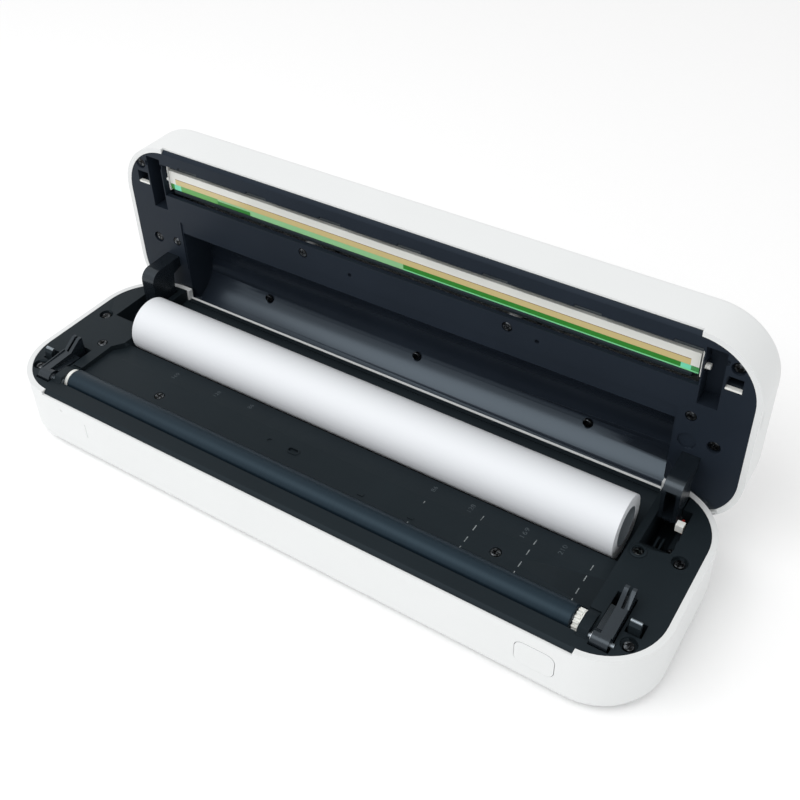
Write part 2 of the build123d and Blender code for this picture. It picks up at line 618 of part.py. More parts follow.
def idler_pin():
    head_x = GEAR_X + GEAR_W + 0.2
    pin = rod(IDLER_PIN_R, BRACKET_X, head_x, IDLER_Y, IDLER_Z)
    return pin + rod(IDLER_PIN_R + 0.8, head_x, head_x + 0.7, IDLER_Y, IDLER_Z)


def motor_shaft():
    return rod(MOTOR_SHAFT_R, BRACKET_X - 6.0, GEAR_X + GEAR_W + 0.3, MOTOR_Y, MOTOR_Z)


def motor_body():
    """Stepper can with its flange and the boss that centres it in the bracket."""
    can = rod(MOTOR_R, BRACKET_X - MOTOR_L, BRACKET_X, MOTOR_Y, MOTOR_Z)
    can += rod(MOTOR_BOSS_R, BRACKET_X - 1, BRACKET_X + BRACKET_T, MOTOR_Y, MOTOR_Z)
    return can - rod(MOTOR_SHAFT_R + FIT, BRACKET_X - 6.5, BRACKET_X + 5, MOTOR_Y, MOTOR_Z)


def motor_bracket():
    """Steel plate that carries the motor and the idler's pin, with a foot on the shell's floor."""
    under_well = -PLATEN_DROP - WELL_R - DECK_T - 0.4
    step = WELL_REAR + DECK_T + 0.3
    front = PLATEN_Y - 4.7
    rear = MOTOR_Y + 9.1
    top = -5.5
    outline = polygon((front, FLOOR_Z), (front, under_well), (step, under_well), (step, top), (rear, top),
                      (rear, FLOOR_Z))
    plate = along_x(outline, BRACKET_X, BRACKET_X + BRACKET_T)
    plate += block(BRACKET_X, BRACKET_X + 7.0, front, rear, FLOOR_Z, FLOOR_Z + BRACKET_T)
    plate -= rod(IDLER_PIN_R + FIT, BRACKET_X - 1, BRACKET_X + 3, IDLER_Y, IDLER_Z)
    return plate - rod(MOTOR_BOSS_R + FIT, BRACKET_X - 1, BRACKET_X + 3, MOTOR_Y, MOTOR_Z)


# ---- base: guide levers ----
def guide_lever(side):
    """Sprung lever beside the platen; its forked hook stands up into the lid's slot when shut."""
    arm_x = LEVER_X + 2.3
    barrel = rod(LEVER_R, side * LEVER_X, side * (LEVER_END - 0.4), LEVER_Y, -LEVER_DROP)
    top = LEVER_R - LEVER_DROP
    hook = PLATEN_Y + 7.5
    tip = PLATEN_Y + 12.8
    outline = polygon((LEVER_Y, top), (hook, top + 0.3), (tip, HOOK_TOP), (tip + 1.4, HOOK_TOP),
                      (tip + 1.9, -3.0), (LEVER_Y + 3.0, -3.0), (LEVER_Y, -1.5))
    arm = along_x(outline, side * arm_x, side * LEVER_END)
    fork = block(side * (arm_x + 1.5), side * (LEVER_END - 1.4), hook, tip + 3, top - 1.4, HOOK_TOP + 1)
    rib_line = polygon((LEVER_Y, top - 0.2), (hook, top + 0.2), (hook, top + 0.9), (LEVER_Y, top + 0.3))
    rib = along_x(rib_line, side * (LEVER_END - 0.5), side * LEVER_END)
    shelf_line = polygon((LEVER_Y, 1.2), (hook + 2.0, 0.3), (hook + 2.0, -1.4), (LEVER_Y + 3.0, -2.0),
                         (LEVER_Y, -1.5))
    shelf = along_x(shelf_line, side * LEVER_X, side * (arm_x + 0.5))
    lever = barrel + arm + shelf + rib - fork
    x0 = side * (LEVER_X - 1)
    x1 = side * (LEVER_END + 1)
    return lever - rod(LEVER_PIN_R + FIT, x0, x1, LEVER_Y, -LEVER_DROP) - spring_room(side, 0.1)


def spring_room(side, grow=0.0):
    """Ring inside the lever's barrel that its torsion spring fills."""
    x0 = side * (LEVER_X - grow - 0.3)
    x1 = side * (LEVER_X + 2.6 + grow)
    ring = rod(LEVER_SPRING_R + grow, x0, x1, LEVER_Y, -LEVER_DROP)
    return ring - rod(LEVER_PIN_R + 0.15 - grow, x0, x1, LEVER_Y, -LEVER_DROP)


def lever_springs():
    return pieces(spring_room(-1), spring_room(1))


def lever_pins():
    return pieces(*[rod(LEVER_PIN_R, side * (CLIP_X + 0.3), side * (SLOT_END + 0.6), LEVER_Y, -LEVER_DROP)
                    for side in (-1, 1)])


# ---- base: catches, hinge pins and the head's lead ----
def latch_pin(side, grow=0.0):
    """Steel pin along the top rear edge of a latch post."""
    x0 = side * (CATCH_X - LATCH_W / 2 - grow)
    x1 = side * (CATCH_X + LATCH_W / 2 + grow)
    return rod(LATCH_PIN_R + grow, x0, x1, LATCH_REAR - 0.5, LATCH_TOP - 0.3)


def latch_posts():
    """Sprung posts in the catch pockets, which the lid's pockets close over."""
    posts = []
    for side in (-1, 1):
        outline = polygon((LATCH_FRONT, -CATCH_DEPTH), (LATCH_FRONT, LATCH_TOP - 1.1),
                          (LATCH_FRONT + 1.1, LATCH_TOP), (LATCH_REAR, LATCH_TOP), (LATCH_REAR, -1.0),
                          (LATCH_REAR + 0.5, -CATCH_DEPTH))
        post_x = side * (CATCH_X - LATCH_W / 2)
        posts.append(along_x(outline, post_x, post_x + side * LATCH_W) - latch_pin(side, FIT))
    return pieces(*posts)


def latch_pins():
    return pieces(latch_pin(-1), latch_pin(1))


def hinge_pins():
    return pieces(*[rod(HINGE_PIN_R, side * (POCKET_X - 1.3), side * PIN_END, PIVOT_Y, -PIVOT_DROP)
                    for side in (-1, 1)])


def lead_connector():
    """White plug of the print head's lead, parked at the mouth of the wire bay."""
    return block(LEAD_X - 1.3, LEAD_X + 1.5, LEAD_Y - 1.3, LEAD_Y + 1.4, -2.8, 0.1)


def lead_wire():
    """Red lead from the plug down through the floor of the wire bay."""
    start = LEAD_Y + 1.4
    bend = LEAD_Y + 4.6
    path = FilletPolyline((LEAD_X, start, -1.6), (LEAD_X, bend, -1.6), (LEAD_X, bend, 0.1 - WIRE_BAY_DEPTH),
                          radius=2.2)
    return sweep(Plane(path @ 0, z_dir=path % 0) * Circle(0.55), path)


def bay_screws():
    """Two small screws in the floor of the right-hand wire bay."""
    return pieces(*[screw(x, y, -WIRE_BAY_DEPTH, THIN) for x, y in BAY_SCREWS])


# ---- base: power button, lights and charging port ----
def button_plug(grow, y0, y1):
    w = BUTTON_W + 2 * grow
    h = BUTTON_H + 2 * grow
    outline = RectangleRounded(w, h, BUTTON_R + grow)
    plane = Plane(origin=(BUTTON_X, y1, BUTTON_Z), x_dir=(1, 0, 0), z_dir=(0, -1, 0))
    return extrude(plane * outline, y1 - y0)


def power_button():
    inner = FRONT + WALL
    button = button_plug(0, FRONT - 0.1, inner + 0.15)
    button += button_plug(0.9, inner + 0.15, inner + 0.95)
    return button + plug(1.5, BUTTON_X, BUTTON_Z, inner + 0.9, inner + 1.6)


def tact_switch():
    body = block(BUTTON_X - 2.6, BUTTON_X + 2.6, SWITCH_Y + 0.5, BUTTON_BOARD_Y, BUTTON_Z - 3.1,
                 BUTTON_Z + 1.4)
    return body + plug(1.2, BUTTON_X, BUTTON_Z, SWITCH_Y, SWITCH_Y + 1)


def button_board():
    return block(BUTTON_X - 9.0, BUTTON_X + 4.6, BUTTON_BOARD_Y, BUTTON_BOARD_Y + 1.0, FLOOR_Z, -10.3)


def strip(grow, y0, y1):
    w = STRIP_W / 2 + grow
    return block(STRIP_X - w, STRIP_X + w, y0, y1, STRIP_LOW - grow, STRIP_HIGH + grow)


def status_light():
    """Round light pipe and a narrow light bar in the front wall."""
    back = FRONT + WALL + 0.9
    return pieces(plug(LIGHT_R, LIGHT_X, LIGHT_Z, FRONT, back), strip(0, FRONT, back))


def light_board():
    y = FRONT + WALL + 0.9
    return block(LIGHT_X - 3, STRIP_X + 3, y, y + 1.0, FLOOR_Z + BASE_EDGE_R - WALL, LIGHT_Z + 2)


def port_plug(grow, x0, x1):
    w = PORT_W + 2 * grow
    h = PORT_H + 2 * grow
    plane = Plane(origin=(x0, PORT_Y, PORT_Z), x_dir=(0, 1, 0), z_dir=(1, 0, 0))
    return extrude(plane * RectangleRounded(w, h, h / 2 - 0.01), x1 - x0)


def charging_port():
    """Steel charging socket with its contact tongue."""
    x0 = -END_X + 0.3
    shell = port_plug(0, x0, x0 + 7.3)
    shell -= port_plug(-0.3, x0 - 1, x0 + 6.3)
    shell += block(x0 + 1.5, x0 + 6.8, PORT_Y - 3.2, PORT_Y + 3.2, PORT_Z - 0.35, PORT_Z + 0.35)
    return shell + block(x0 + 2.5, x0 + 7.0, PORT_Y - 3.8, PORT_Y + 3.8, PORT_Z - 1.6, PORT_Z - 1.2)


def port_board():
    x0 = -END_X + WALL + 0.4
    return block(x0, x0 + 15.5, PORT_Y - 6.5, PORT_Y + 6.5, PORT_BOARD_Z, PORT_Z - 1.6)


# ---- base: battery and main board ----
def main_board():
    """Controller board with its larger parts."""
    top = BOARD_Z + BOARD_T
    board = block(BOARD_X0, BOARD_X1, BOARD_Y0, BOARD_Y1, BOARD_Z, top)
    for x, dy, length, width, height in CHIPS:
        y = ROLL_Y + dy
        board += block(x - length / 2, x + length / 2, y - width / 2, y + width / 2, top - 0.1, top + height)
    return board


def battery_pack():
    """Flat lithium pack lying on the shell's floor under the trough."""
    ceiling = -TROUGH_DROP - DECK_T - 0.8
    pack = block(BATTERY_X0, BATTERY_X1, BATTERY_Y0, BATTERY_Y1, FLOOR_Z, ceiling)
    return fillet(pack.edges().filter_by(Axis.X), 2.0)


# ---- paper ----
def paper_roll():
    """Coreless roll of thermal paper; the winding leaves an eye at each end."""
    end = PAPER_W / 2
    roll = rod(ROLL_R, -end, end, ROLL_Y, ROLL_Z)
    roll -= both_sides(rod(ROLL_BORE_R, end - ROLL_BORE_L, end + 1, ROLL_Y, ROLL_Z))
    return Pos(ROLL_SHIFT, 0, 0) * roll


# ---- lid: shell ----
def hinge_relief(grow=0.0):
    """What the lid has cut away so that it clears the base's rear rim as it swings."""
    z = -PIVOT_DROP - LID_GAP
    low = hypot(PIVOT_IN, PIVOT_DROP - REAR_SLOT_DROP) + 0.3
    high = hypot(PIVOT_IN, PIVOT_DROP) + 0.45
    near = PIVOT_DROP + LID_GAP + 0.2
    x0 = REAR_SLOT_X - 0.9
    x1 = TRAY_X + 5.0
    x2 = END_X - CORNER_R + sqrt(CORNER_R ** 2 - (CORNER_R - PIVOT_IN) ** 2)
    middle = rod(low + grow, -x0, x0, PIVOT_Y, z)
    side = rod(high + grow, x0 - grow, x1, PIVOT_Y, z)
    taper = Cone(high + grow, near + grow, x2 - x1, align=(Align.CENTER, Align.CENTER, Align.MIN))
    side += Pos(x1, PIVOT_Y, z) * Rot(0, 90, 0) * taper
    return middle + both_sides(side)


def lid_shell():
    outer = slab(BODY_L, BODY_W, CORNER_R, 0, LID_H)
    outer = fillet(outer.faces().sort_by(Axis.Z)[-1].edges(), LID_EDGE_R)
    hollow = slab(INNER_L, INNER_W, INNER_R, -1, LID_H - WALL)
    hollow = fillet(hollow.faces().sort_by(Axis.Z)[-1].edges(), LID_EDGE_R - WALL)
    shell = outer - hollow
    shell -= block(-LIP_X, LIP_X, FRONT - 1, FRONT + WALL + 1, -1, LIP_H)
    for x, y in LID_SCREWS:
        shell += both_sides(post(BOSS_R, x, y, PLATE_T + 1.2, LID_H - WALL + 0.5))
        shell -= both_sides(post(SCREW_R + FIT, x, y, 0, LID_H - WALL - 1))
    for x, y in PANEL_SCREWS:
        shell += post(BOSS_R, x, y, PLATE_T, LID_H - WALL + 0.5)
        shell -= post(SCREW_R + FIT, x, y, 0, LID_H - WALL - 1)
    for x in ROOM_SCREWS:
        shell += post(BOSS_R, x, ROOM_SCREW_Y, ROOM_SCREW_Z + PLATE_T, LID_H - WALL + 0.5)
        shell -= post(SCREW_R + FIT, x, ROOM_SCREW_Y, ROOM_SCREW_Z, LID_H - WALL - 0.3)
    shell -= rod(LID_ROOM_R + PLATE_T, -LID_ROOM_X - 2, LID_ROOM_X + 2, LID_ROOM_Y, -LID_ROOM_DROP)
    slit = block(END_X - 0.6, END_X + 1, PLATEN_Y + 13.3, PLATEN_Y + 21.3, 3.6, 4.2)
    shell -= slit
    return shell - hinge_relief()


# ---- lid: plate ----
def lid_slot(grow=0.0, bottom=-1.0):
    g = grow
    x0 = SLOT_X - SLOT_EASE - g
    return block(x0, SLOT_END + g, SLOT_FRONT - g, SLOT_REAR + 0.6 + g, bottom, HOOK_TOP + 1.2 + g)


def lid_catch(grow=0.0, bottom=-1.0):
    h = CATCH_W / 2 + grow
    return block(CATCH_X - h, CATCH_X + h, LID_CATCH_Y - h, LID_CATCH_Y + h, bottom, CATCH_DEPTH + grow)


def lid_plate():
    plate = slab(INNER_L, INNER_W, INNER_R, 0, PLATE_T)
    plate += rod(LID_ROOM_R + PLATE_T, -LID_ROOM_X - THIN, LID_ROOM_X + THIN, LID_ROOM_Y, -LID_ROOM_DROP)
    plate += hinge_relief(1.3)
    for room in (lid_slot, lid_catch):
        plate += both_sides(room(THIN, 0))
    for x, y in LID_SCREWS:
        plate += both_sides(post(BOSS_R + 0.9, x, y, 0, PLATE_T + 1.2))
    plate &= inside(0, LID_H - WALL - 0.2)

    lip = polygon((FRONT + WALL + 1.5, 0), (FRONT + WALL + 0.3, 0), (FRONT + LIP_IN + 0.35, 0.65),
                  (FRONT + LIP_IN, LIP_H - 0.3), (FRONT + LIP_IN, LIP_H), (FRONT + WALL + 1.5, LIP_H))
    plate += along_x(lip, -LIP_X + 0.2, LIP_X - 0.2)

    plate -= rod(LID_ROOM_R, -LID_ROOM_X, LID_ROOM_X, LID_ROOM_Y, -LID_ROOM_DROP)
    plate -= block(-WINDOW_X, WINDOW_X, WINDOW_FRONT, WINDOW_REAR, -1, LID_H)
    step_y = WINDOW_REAR + 11.7
    plate -= block(-TRAY_X + 1, TRAY_X - 1, step_y, LID_ROOM_Y, -1, 0.5)
    for room in (lid_slot, lid_catch):
        plate -= both_sides(room())
    plate -= hinge_relief()
    plate -= both_sides(rod(LEVER_PIN_R + 0.35, WINDOW_X - 1, SLOT_END + 1.1, LEVER_Y, -LEVER_DROP - LID_GAP))
    plate -= both_sides(block(WINDOW_X - 1, SLOT_X + 1, PIN_Y - 1.7, PIN_Y + 1.8, 2.0, 7.5))

    # screw seats, a dimple over the deck's domed screw and two small holes in the panel
    for x, y in LID_SCREWS:
        plate -= both_sides(post(SCREW_HEAD_R + 0.6, x, y, -1, SCREW_HEAD_H + SCREW_SINK))
        plate -= both_sides(post(SCREW_R + 0.2, x, y, -1, 5))
    for x, y in PANEL_SCREWS:
        plate -= post(SCREW_HEAD_R + 0.2, x, y, -1, SCREW_HEAD_H)
        plate -= post(SCREW_R + 0.2, x, y, -1, 5)
    for x in ROOM_SCREWS:
        plate -= post(SCREW_HEAD_R + 0.3, x, ROOM_SCREW_Y, ROOM_SCREW_Z - 3, ROOM_SCREW_Z + SCREW_HEAD_H)
        plate -= post(SCREW_R + 0.2, x, ROOM_SCREW_Y, ROOM_SCREW_Z - 3, LID_H)
    plate -= post(DOME_R + 0.4, *DOME_SCREW, -1, DOME_H)
    for x, y in PANEL_HOLES:
        plate -= post(PANEL_HOLE_R, x, y, -1, 1.5)

    # notches in the window's front edge
    for x in EDGE_NOTCHES:
        plate -= block(x - NOTCH_W / 2, x + NOTCH_W / 2, WINDOW_FRONT - 1.0, WINDOW_FRONT + 1, -1, 0.9)
    return plate


def lid_screws():
    head_z = SCREW_HEAD_H + SCREW_SINK
    return pieces(*[screw_up(side * x, y, head_z, SCREW_L) for x, y in LID_SCREWS for side in (-1, 1)])


def panel_screws():
    return pieces(*[screw_up(x, y, SCREW_HEAD_H, SCREW_L) for x, y in PANEL_SCREWS])


def room_screws():
    return pieces(*[screw_up(x, ROOM_SCREW_Y, ROOM_SCREW_Z + SCREW_HEAD_H, 2.8) for x in ROOM_SCREWS])


def screw_up(x, y, z, length):
    """A screw driven upwards from the lid's underside; z is where its head bears."""
    return mirror(screw(x, y, -z, length), Plane.XY)


def lid_keepers():
    """White bars along the rear edge of the lid's catch pockets."""
    h = CATCH_W / 2
    rear = LID_CATCH_Y + h
    return pieces(*[block(side * (CATCH_X - h), side * (CATCH_X + h), rear - 0.8, rear, 0.05, 1.6)
                    for side in (-1, 1)])


# ---- lid: goosenecks ----
def hinge_arm(side, hollow):
    """Gooseneck that carries the lid on its pin below the deck; the right one is hollow for the lead."""
    pivot = (PIVOT_Y, -PIVOT_DROP - LID_GAP)
    py, pz = pivot
    front = py - ARM_REACH
    under = pz - ARM_DEPTH
    outline = polygon((front, 0), (front, under), (py - 6.5, under),
                      (py - KNUCKLE_R * 0.64, pz - KNUCKLE_R * 0.77),
                      (py, pz), (py, pz + KNUCKLE_R), (py - 10.3, pz + 2.4), (py - 16.8, pz + 3.1),
                      (front + ARM_NECK, 0))
    arm = along_x(outline, side * ARM_X, side * (ARM_X + ARM_W))
    corner = arm.edges().filter_by(Axis.X).filter_by(lambda e: abs(e.center().Y - front) < 0.01)
    arm = fillet(corner.sort_by(Axis.Z)[0], 5.0)
    arm += rod(KNUCKLE_R, side * ARM_X, side * (ARM_X + ARM_W), *pivot)
    if hollow:
        x0 = side * (ARM_X + ARM_WALL)
        x1 = side * (ARM_X + ARM_W - ARM_WALL)
        room = polygon((front + ARM_WALL, pz + 6.4), (front + ARM_WALL, under + 3.6),
                       (front + ARM_WALL + 1.1, under + 1.2), (front + 5, under - 1), (py - 7.4, under - 1),
                       (py - 7.4, pz + 0.9), (py - 17.4, pz + 1.7), (front + ARM_NECK - ARM_WALL, pz + 6.4))
        arm -= along_x(room, x0, x1)
    return arm - rod(HINGE_PIN_R + FIT, side * (ARM_X - 1), side * (ARM_X + ARM_W + 1), *pivot)


# ---- lid: print head ----
def head_bar():
    """Aluminium bar that carries the print head and spreads its heat."""
    y0 = WINDOW_FRONT + 0.5
    y1 = WINDOW_REAR - 0.5
    bar = block(-HEAD_X, HEAD_X, y0, y1, HEAD_FACE + CERAMIC_T, BAR_BACK)
    for step in range(4):
        y = y0 + 2.6 + step * 3.0
        bar -= block(-HEAD_X - 1, HEAD_X + 1, y, y + 1.3, BAR_BACK - 2.0, BAR_BACK + 1)
    return bar


def head_ceramic():
    y0 = PLATEN_Y - CERAMIC_AHEAD
    return block(-HEAD_X + 0.4, HEAD_X - 0.4, y0, y0 + CERAMIC_W, HEAD_FACE, HEAD_FACE + CERAMIC_T)


def head_board():
    y0 = PLATEN_Y - CERAMIC_AHEAD + CERAMIC_W
    return block(-HEAD_X + 0.4, HEAD_X - 0.4, y0, y0 + HEAD_BOARD_W, HEAD_FACE + 0.2, HEAD_FACE + CERAMIC_T)


def head_cover():
    """Black plastic cover over the driver chips, along the rear of the head."""
    y0 = PLATEN_Y - CERAMIC_AHEAD + CERAMIC_W + HEAD_BOARD_W
    cover = block(-HEAD_X + 2.4, HEAD_X - 2.4, y0, WINDOW_REAR - 0.5, HEAD_FACE - 0.4, HEAD_FACE + CERAMIC_T)
    return chamfer(cover.edges().filter_by(Axis.X).sort_by(Axis.Z)[:2], 0.5)


def head_ends():
    """White end plates that slide in the window's ends."""
    x0 = HEAD_X + 0.05
    return pieces(*[block(side * x0, side * (WINDOW_X - 0.3), WINDOW_FRONT + 1.6, WINDOW_REAR - 1.6,
                          HEAD_FACE + 0.1, BAR_BACK) - end_pin(side, FIT) for side in (-1, 1)])


def end_pin(side, grow=0.0):
    pin_z = HEAD_FACE + 2.1
    return rod(HEAD_PIN_R + grow, side * (HEAD_X + 0.05 - grow), side * (WINDOW_X + 1.9), PIN_Y, pin_z)


def head_pins():
    return pieces(end_pin(-1), end_pin(1))


def head_springs():
    """Four coil springs, shown as plain sleeves, that press the head towards the platen."""
    y = (WINDOW_FRONT + WINDOW_REAR) / 2
    z0 = BAR_BACK + HEAD_TRAVEL + 0.15
    return pieces(*[post(SPRING_R, x, y, z0, LID_H - WALL) - post(SPRING_BORE_R, x, y, z0 - 1, LID_H)
                    for x in SPRING_X])


# ---- placing and writing ----
def open_lid(piece):
    """Shut lid coordinates to the open position, turned about the hinge pin."""
    to_pivot = Pos(0, -PIVOT_Y, PIVOT_DROP + LID_GAP)
    back = Pos(0, PIVOT_Y, DECK_Z - PIVOT_DROP)
    return back * Rot(-LID_OPEN, 0, 0) * to_pivot * piece


BASE_NODES = {
    "base_shell": base_shell,
    "base_deck": base_deck,
    "rubber_feet": rubber_feet,
    "deck_screws": deck_screws,
    "floor_screws": floor_screws,
    "paper_sensor": paper_sensor,
    "platen_shaft": platen_shaft,
    "platen_rubber": platen_rubber,
    "platen_gear": platen_gear,
    "platen_bush_left": lambda: bush(-1),
    "platen_bush_right": lambda: bush(1),
    "platen_clip_left": lambda: platen_clip(-1),
    "platen_clip_right": lambda: platen_clip(1),
    "idler_gear": idler_gear,
    "idler_pin": idler_pin,
    "motor_pinion": motor_pinion,
    "motor_shaft": motor_shaft,
    "motor_body": motor_body,
    "motor_bracket": motor_bracket,
    "guide_lever_left": lambda: guide_lever(-1),
    "guide_lever_right": lambda: guide_lever(1),
    "lever_pins": lever_pins,
    "lever_springs": lever_springs,
    "latch_posts": latch_posts,
    "latch_pins": latch_pins,
    "hinge_pins": hinge_pins,
    "lead_connector": lead_connector,
    "lead_wire": lead_wire,
    "bay_screws": bay_screws,
    "power_button": power_button,
    "tact_switch": tact_switch,
    "button_board": button_board,
    "status_light": status_light,
    "light_board": light_board,
    "charging_port": charging_port,
    "port_board": port_board,
    "main_board": main_board,
    "battery_pack": battery_pack,
    "paper_roll": paper_roll,
}

LID_NODES = {
    "lid_shell": lid_shell,
    "lid_plate": lid_plate,
    "lid_screws": lid_screws,
    "panel_screws": panel_screws,
    "room_screws": room_screws,
    "lid_keepers": lid_keepers,
    "hinge_arm_left": lambda: hinge_arm(-1, False),
    "hinge_arm_right": lambda: hinge_arm(1, True),
    "head_bar": head_bar,
    "head_ceramic": head_ceramic,
    "head_board": head_board,
    "head_cover": head_cover,
    "head_ends": head_ends,
    "head_pins": head_pins,
    "head_springs": head_springs,
}

os.makedirs("parts", exist_ok=True)
for name, make in BASE_NODES.items():
    export_step(Pos(0, 0, DECK_Z) * make(), os.path.join("parts", name + ".step"))
for name, make in LID_NODES.items():
    export_step(open_lid(make()), os.path.join("parts", name + ".step"))
print("pieces written:", len(BASE_NODES) + len(LID_NODES))
print("shut size: %.1f x %.1f x %.1f mm" % (BODY_L, BODY_W, FOOT_PROUD + BASE_H + LID_GAP + LID_H))
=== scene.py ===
import bpy
from math import pi, radians
from mathutils import Matrix, Vector


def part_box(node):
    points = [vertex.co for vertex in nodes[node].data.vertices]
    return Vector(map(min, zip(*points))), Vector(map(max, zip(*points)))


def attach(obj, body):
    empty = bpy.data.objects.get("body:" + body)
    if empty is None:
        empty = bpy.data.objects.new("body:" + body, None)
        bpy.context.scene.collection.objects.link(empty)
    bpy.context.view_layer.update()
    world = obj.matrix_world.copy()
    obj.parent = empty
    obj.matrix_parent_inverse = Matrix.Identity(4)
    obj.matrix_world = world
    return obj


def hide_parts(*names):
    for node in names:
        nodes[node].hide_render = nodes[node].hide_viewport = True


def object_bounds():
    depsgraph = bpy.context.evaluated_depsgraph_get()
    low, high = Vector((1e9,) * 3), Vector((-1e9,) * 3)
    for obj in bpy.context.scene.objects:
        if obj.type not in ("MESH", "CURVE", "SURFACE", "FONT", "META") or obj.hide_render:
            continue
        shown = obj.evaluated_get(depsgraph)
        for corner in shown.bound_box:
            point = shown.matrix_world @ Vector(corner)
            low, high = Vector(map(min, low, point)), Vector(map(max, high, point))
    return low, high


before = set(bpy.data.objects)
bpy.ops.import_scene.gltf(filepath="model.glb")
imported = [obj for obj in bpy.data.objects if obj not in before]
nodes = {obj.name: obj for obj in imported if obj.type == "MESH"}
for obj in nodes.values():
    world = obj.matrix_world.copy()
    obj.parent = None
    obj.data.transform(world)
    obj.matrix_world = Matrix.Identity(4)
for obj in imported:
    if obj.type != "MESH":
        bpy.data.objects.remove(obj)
cad_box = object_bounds()


# ---- white shells and power button ----
# The two outer shells and the power button are injection moulded in white ABS. The moulds are
# spark eroded, so the faces are satin with a very fine grain.
def linear(code):
    """The colour of an sRGB hex code as the shaders take it."""
    channels = [int(code[i:i + 2], 16) / 255 for i in (1, 3, 5)]
    return [c / 12.92 if c < 0.04045 else ((c + 0.055) / 1.055) ** 2.4 for c in channels] + [1]


def add(tree, kind, settings, links=None):
    """Adds a node with its settings and the sockets that feed it; sockets that share a name go by number."""
    node = tree.nodes.new(kind)
    for name, value in settings.items():
        if isinstance(name, int) or name in node.inputs:
            node.inputs[name].default_value = value
        else:
            setattr(node, name, value)
    for name, socket in (links or {}).items():
        tree.links.new(socket, node.inputs[name])
    return node


def new_finish(name, roughness, ior=1.5, metallic=0.0):
    """A new material, with its node tree, its shader and its Object coordinates."""
    material = bpy.data.materials.new(name)
    material.use_nodes = True
    tree = material.node_tree
    shader = tree.nodes["Principled BSDF"]
    shader.inputs["Roughness"].default_value = roughness
    shader.inputs["IOR"].default_value = ior
    shader.inputs["Metallic"].default_value = metallic
    return material, tree, shader, add(tree, "ShaderNodeTexCoord", {}).outputs["Object"]


MERGE = 0.000002         # corners nearer than this are one
FLAT_WITHIN = 0.4        # degrees between faces that are one flat face
CURVED_UNDER = 32        # degrees between faces of one curve
SHARP_OVER = 40          # degrees from which an edge is rounded


def smooth_copy(name, body, material, edge=0.0):
    """A merged copy of a CAD node, its flat faces made whole and its curved ones smooth."""
    bpy.ops.object.select_all(action="DESELECT")
    piece = nodes[name].copy()
    piece.data = nodes[name].data.copy()
    for key in list(piece.keys()):
        del piece[key]
    piece.parent = None
    piece.name = name + "_surface"
    bpy.context.collection.objects.link(piece)
    piece.hide_render = False
    piece.hide_viewport = False
    piece.select_set(True)
    bpy.context.view_layer.objects.active = piece
    bpy.ops.object.mode_set(mode="EDIT")
    bpy.ops.mesh.select_all(action="SELECT")
    bpy.ops.mesh.remove_doubles(threshold=MERGE)
    bpy.ops.mesh.dissolve_degenerate(threshold=MERGE)
    bpy.ops.mesh.dissolve_limited(angle_limit=radians(FLAT_WITHIN))
    bpy.ops.object.mode_set(mode="OBJECT")
    if edge:
        soft = piece.modifiers.new("edge", "BEVEL")
        soft.width = edge
        soft.segments = 2
        soft.limit_method = "ANGLE"
        soft.angle_limit = radians(SHARP_OVER)
        soft.use_clamp_overlap = True
        bpy.ops.object.modifier_apply(modifier="edge")
    bpy.ops.object.shade_smooth_by_angle(angle=radians(CURVED_UNDER))
    normals = piece.modifiers.new("normals", "WEIGHTED_NORMAL")
    normals.keep_sharp = True
    normals.weight = 100
    bpy.ops.object.modifier_apply(modifier="normals")
    piece.data.materials.clear()
    piece.data.materials.append(material)
    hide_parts(name)
    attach(piece, body)
    return piece


# White ABS: satin, faintly cloudy in gloss. The real grain of 0.15 mm is too fine to show, so it
# is drawn at 0.5 mm.
abs_white, tree, shader, place = new_finish("moulded white ABS", 0.42, 1.53)
cloud = add(tree, "ShaderNodeTexNoise", {"Scale": 20, "Detail": 3}, {"Vector": place})
tint = add(tree, "ShaderNodeValToRGB", {}, {"Fac": cloud.outputs["Fac"]})
tint.color_ramp.elements[0].color = linear("#E1E3E3")
tint.color_ramp.elements[1].color = linear("#E6E8E8")
tree.links.new(tint.outputs["Color"], shader.inputs["Base Color"])
gloss = add(tree, "ShaderNodeMapRange", {"To Min": 0.36, "To Max": 0.48}, {"Value": cloud.outputs["Fac"]})
tree.links.new(gloss.outputs["Result"], shader.inputs["Roughness"])
grain = add(tree, "ShaderNodeTexNoise", {"Scale": 2000, "Detail": 2}, {"Vector": place})
bump = add(tree, "ShaderNodeBump", {"Strength": 0.5, "Distance": 0.00001}, {"Height": grain.outputs["Fac"]})
tree.links.new(bump.outputs["Normal"], shader.inputs["Normal"])
for name, body in (("base_shell", "base"), ("lid_shell", "lid"), ("power_button", "button")):
    smooth_copy(name, body, abs_white)


# ---- rubber feet ----
# Four round feet of moulded black rubber, glued into seats in the underside. The rubber is matt
# and picks up a little dust.
rubber_black, tree, shader, place = new_finish("moulded black rubber", 0.78, 1.52)
dust = add(tree, "ShaderNodeTexNoise", {"Scale": 260, "Detail": 4}, {"Vector": place})
tint = add(tree, "ShaderNodeValToRGB", {}, {"Fac": dust.outputs["Fac"]})
tint.color_ramp.elements[0].color = linear("#1C1E20")
tint.color_ramp.elements[1].color = linear("#2C2E30")
tree.links.new(tint.outputs["Color"], shader.inputs["Base Color"])
grain = add(tree, "ShaderNodeTexNoise", {"Scale": 2500, "Detail": 2}, {"Vector": place})
bump = add(tree, "ShaderNodeBump", {"Strength": 0.6, "Distance": 0.00002}, {"Height": grain.outputs["Fac"]})
tree.links.new(bump.outputs["Normal"], shader.inputs["Normal"])
smooth_copy("rubber_feet", "base", rubber_black)


# ---- boards, battery and the small parts on them ----
# Glass-fibre boards under green solder mask, a lithium pack in blue shrink film and a plated
# charging socket. They sit inside the base, out of sight.
def dress(material, *names):
    """Gives CAD nodes a material."""
    for name in names:
        nodes[name].data.materials.clear()
        nodes[name].data.materials.append(material)


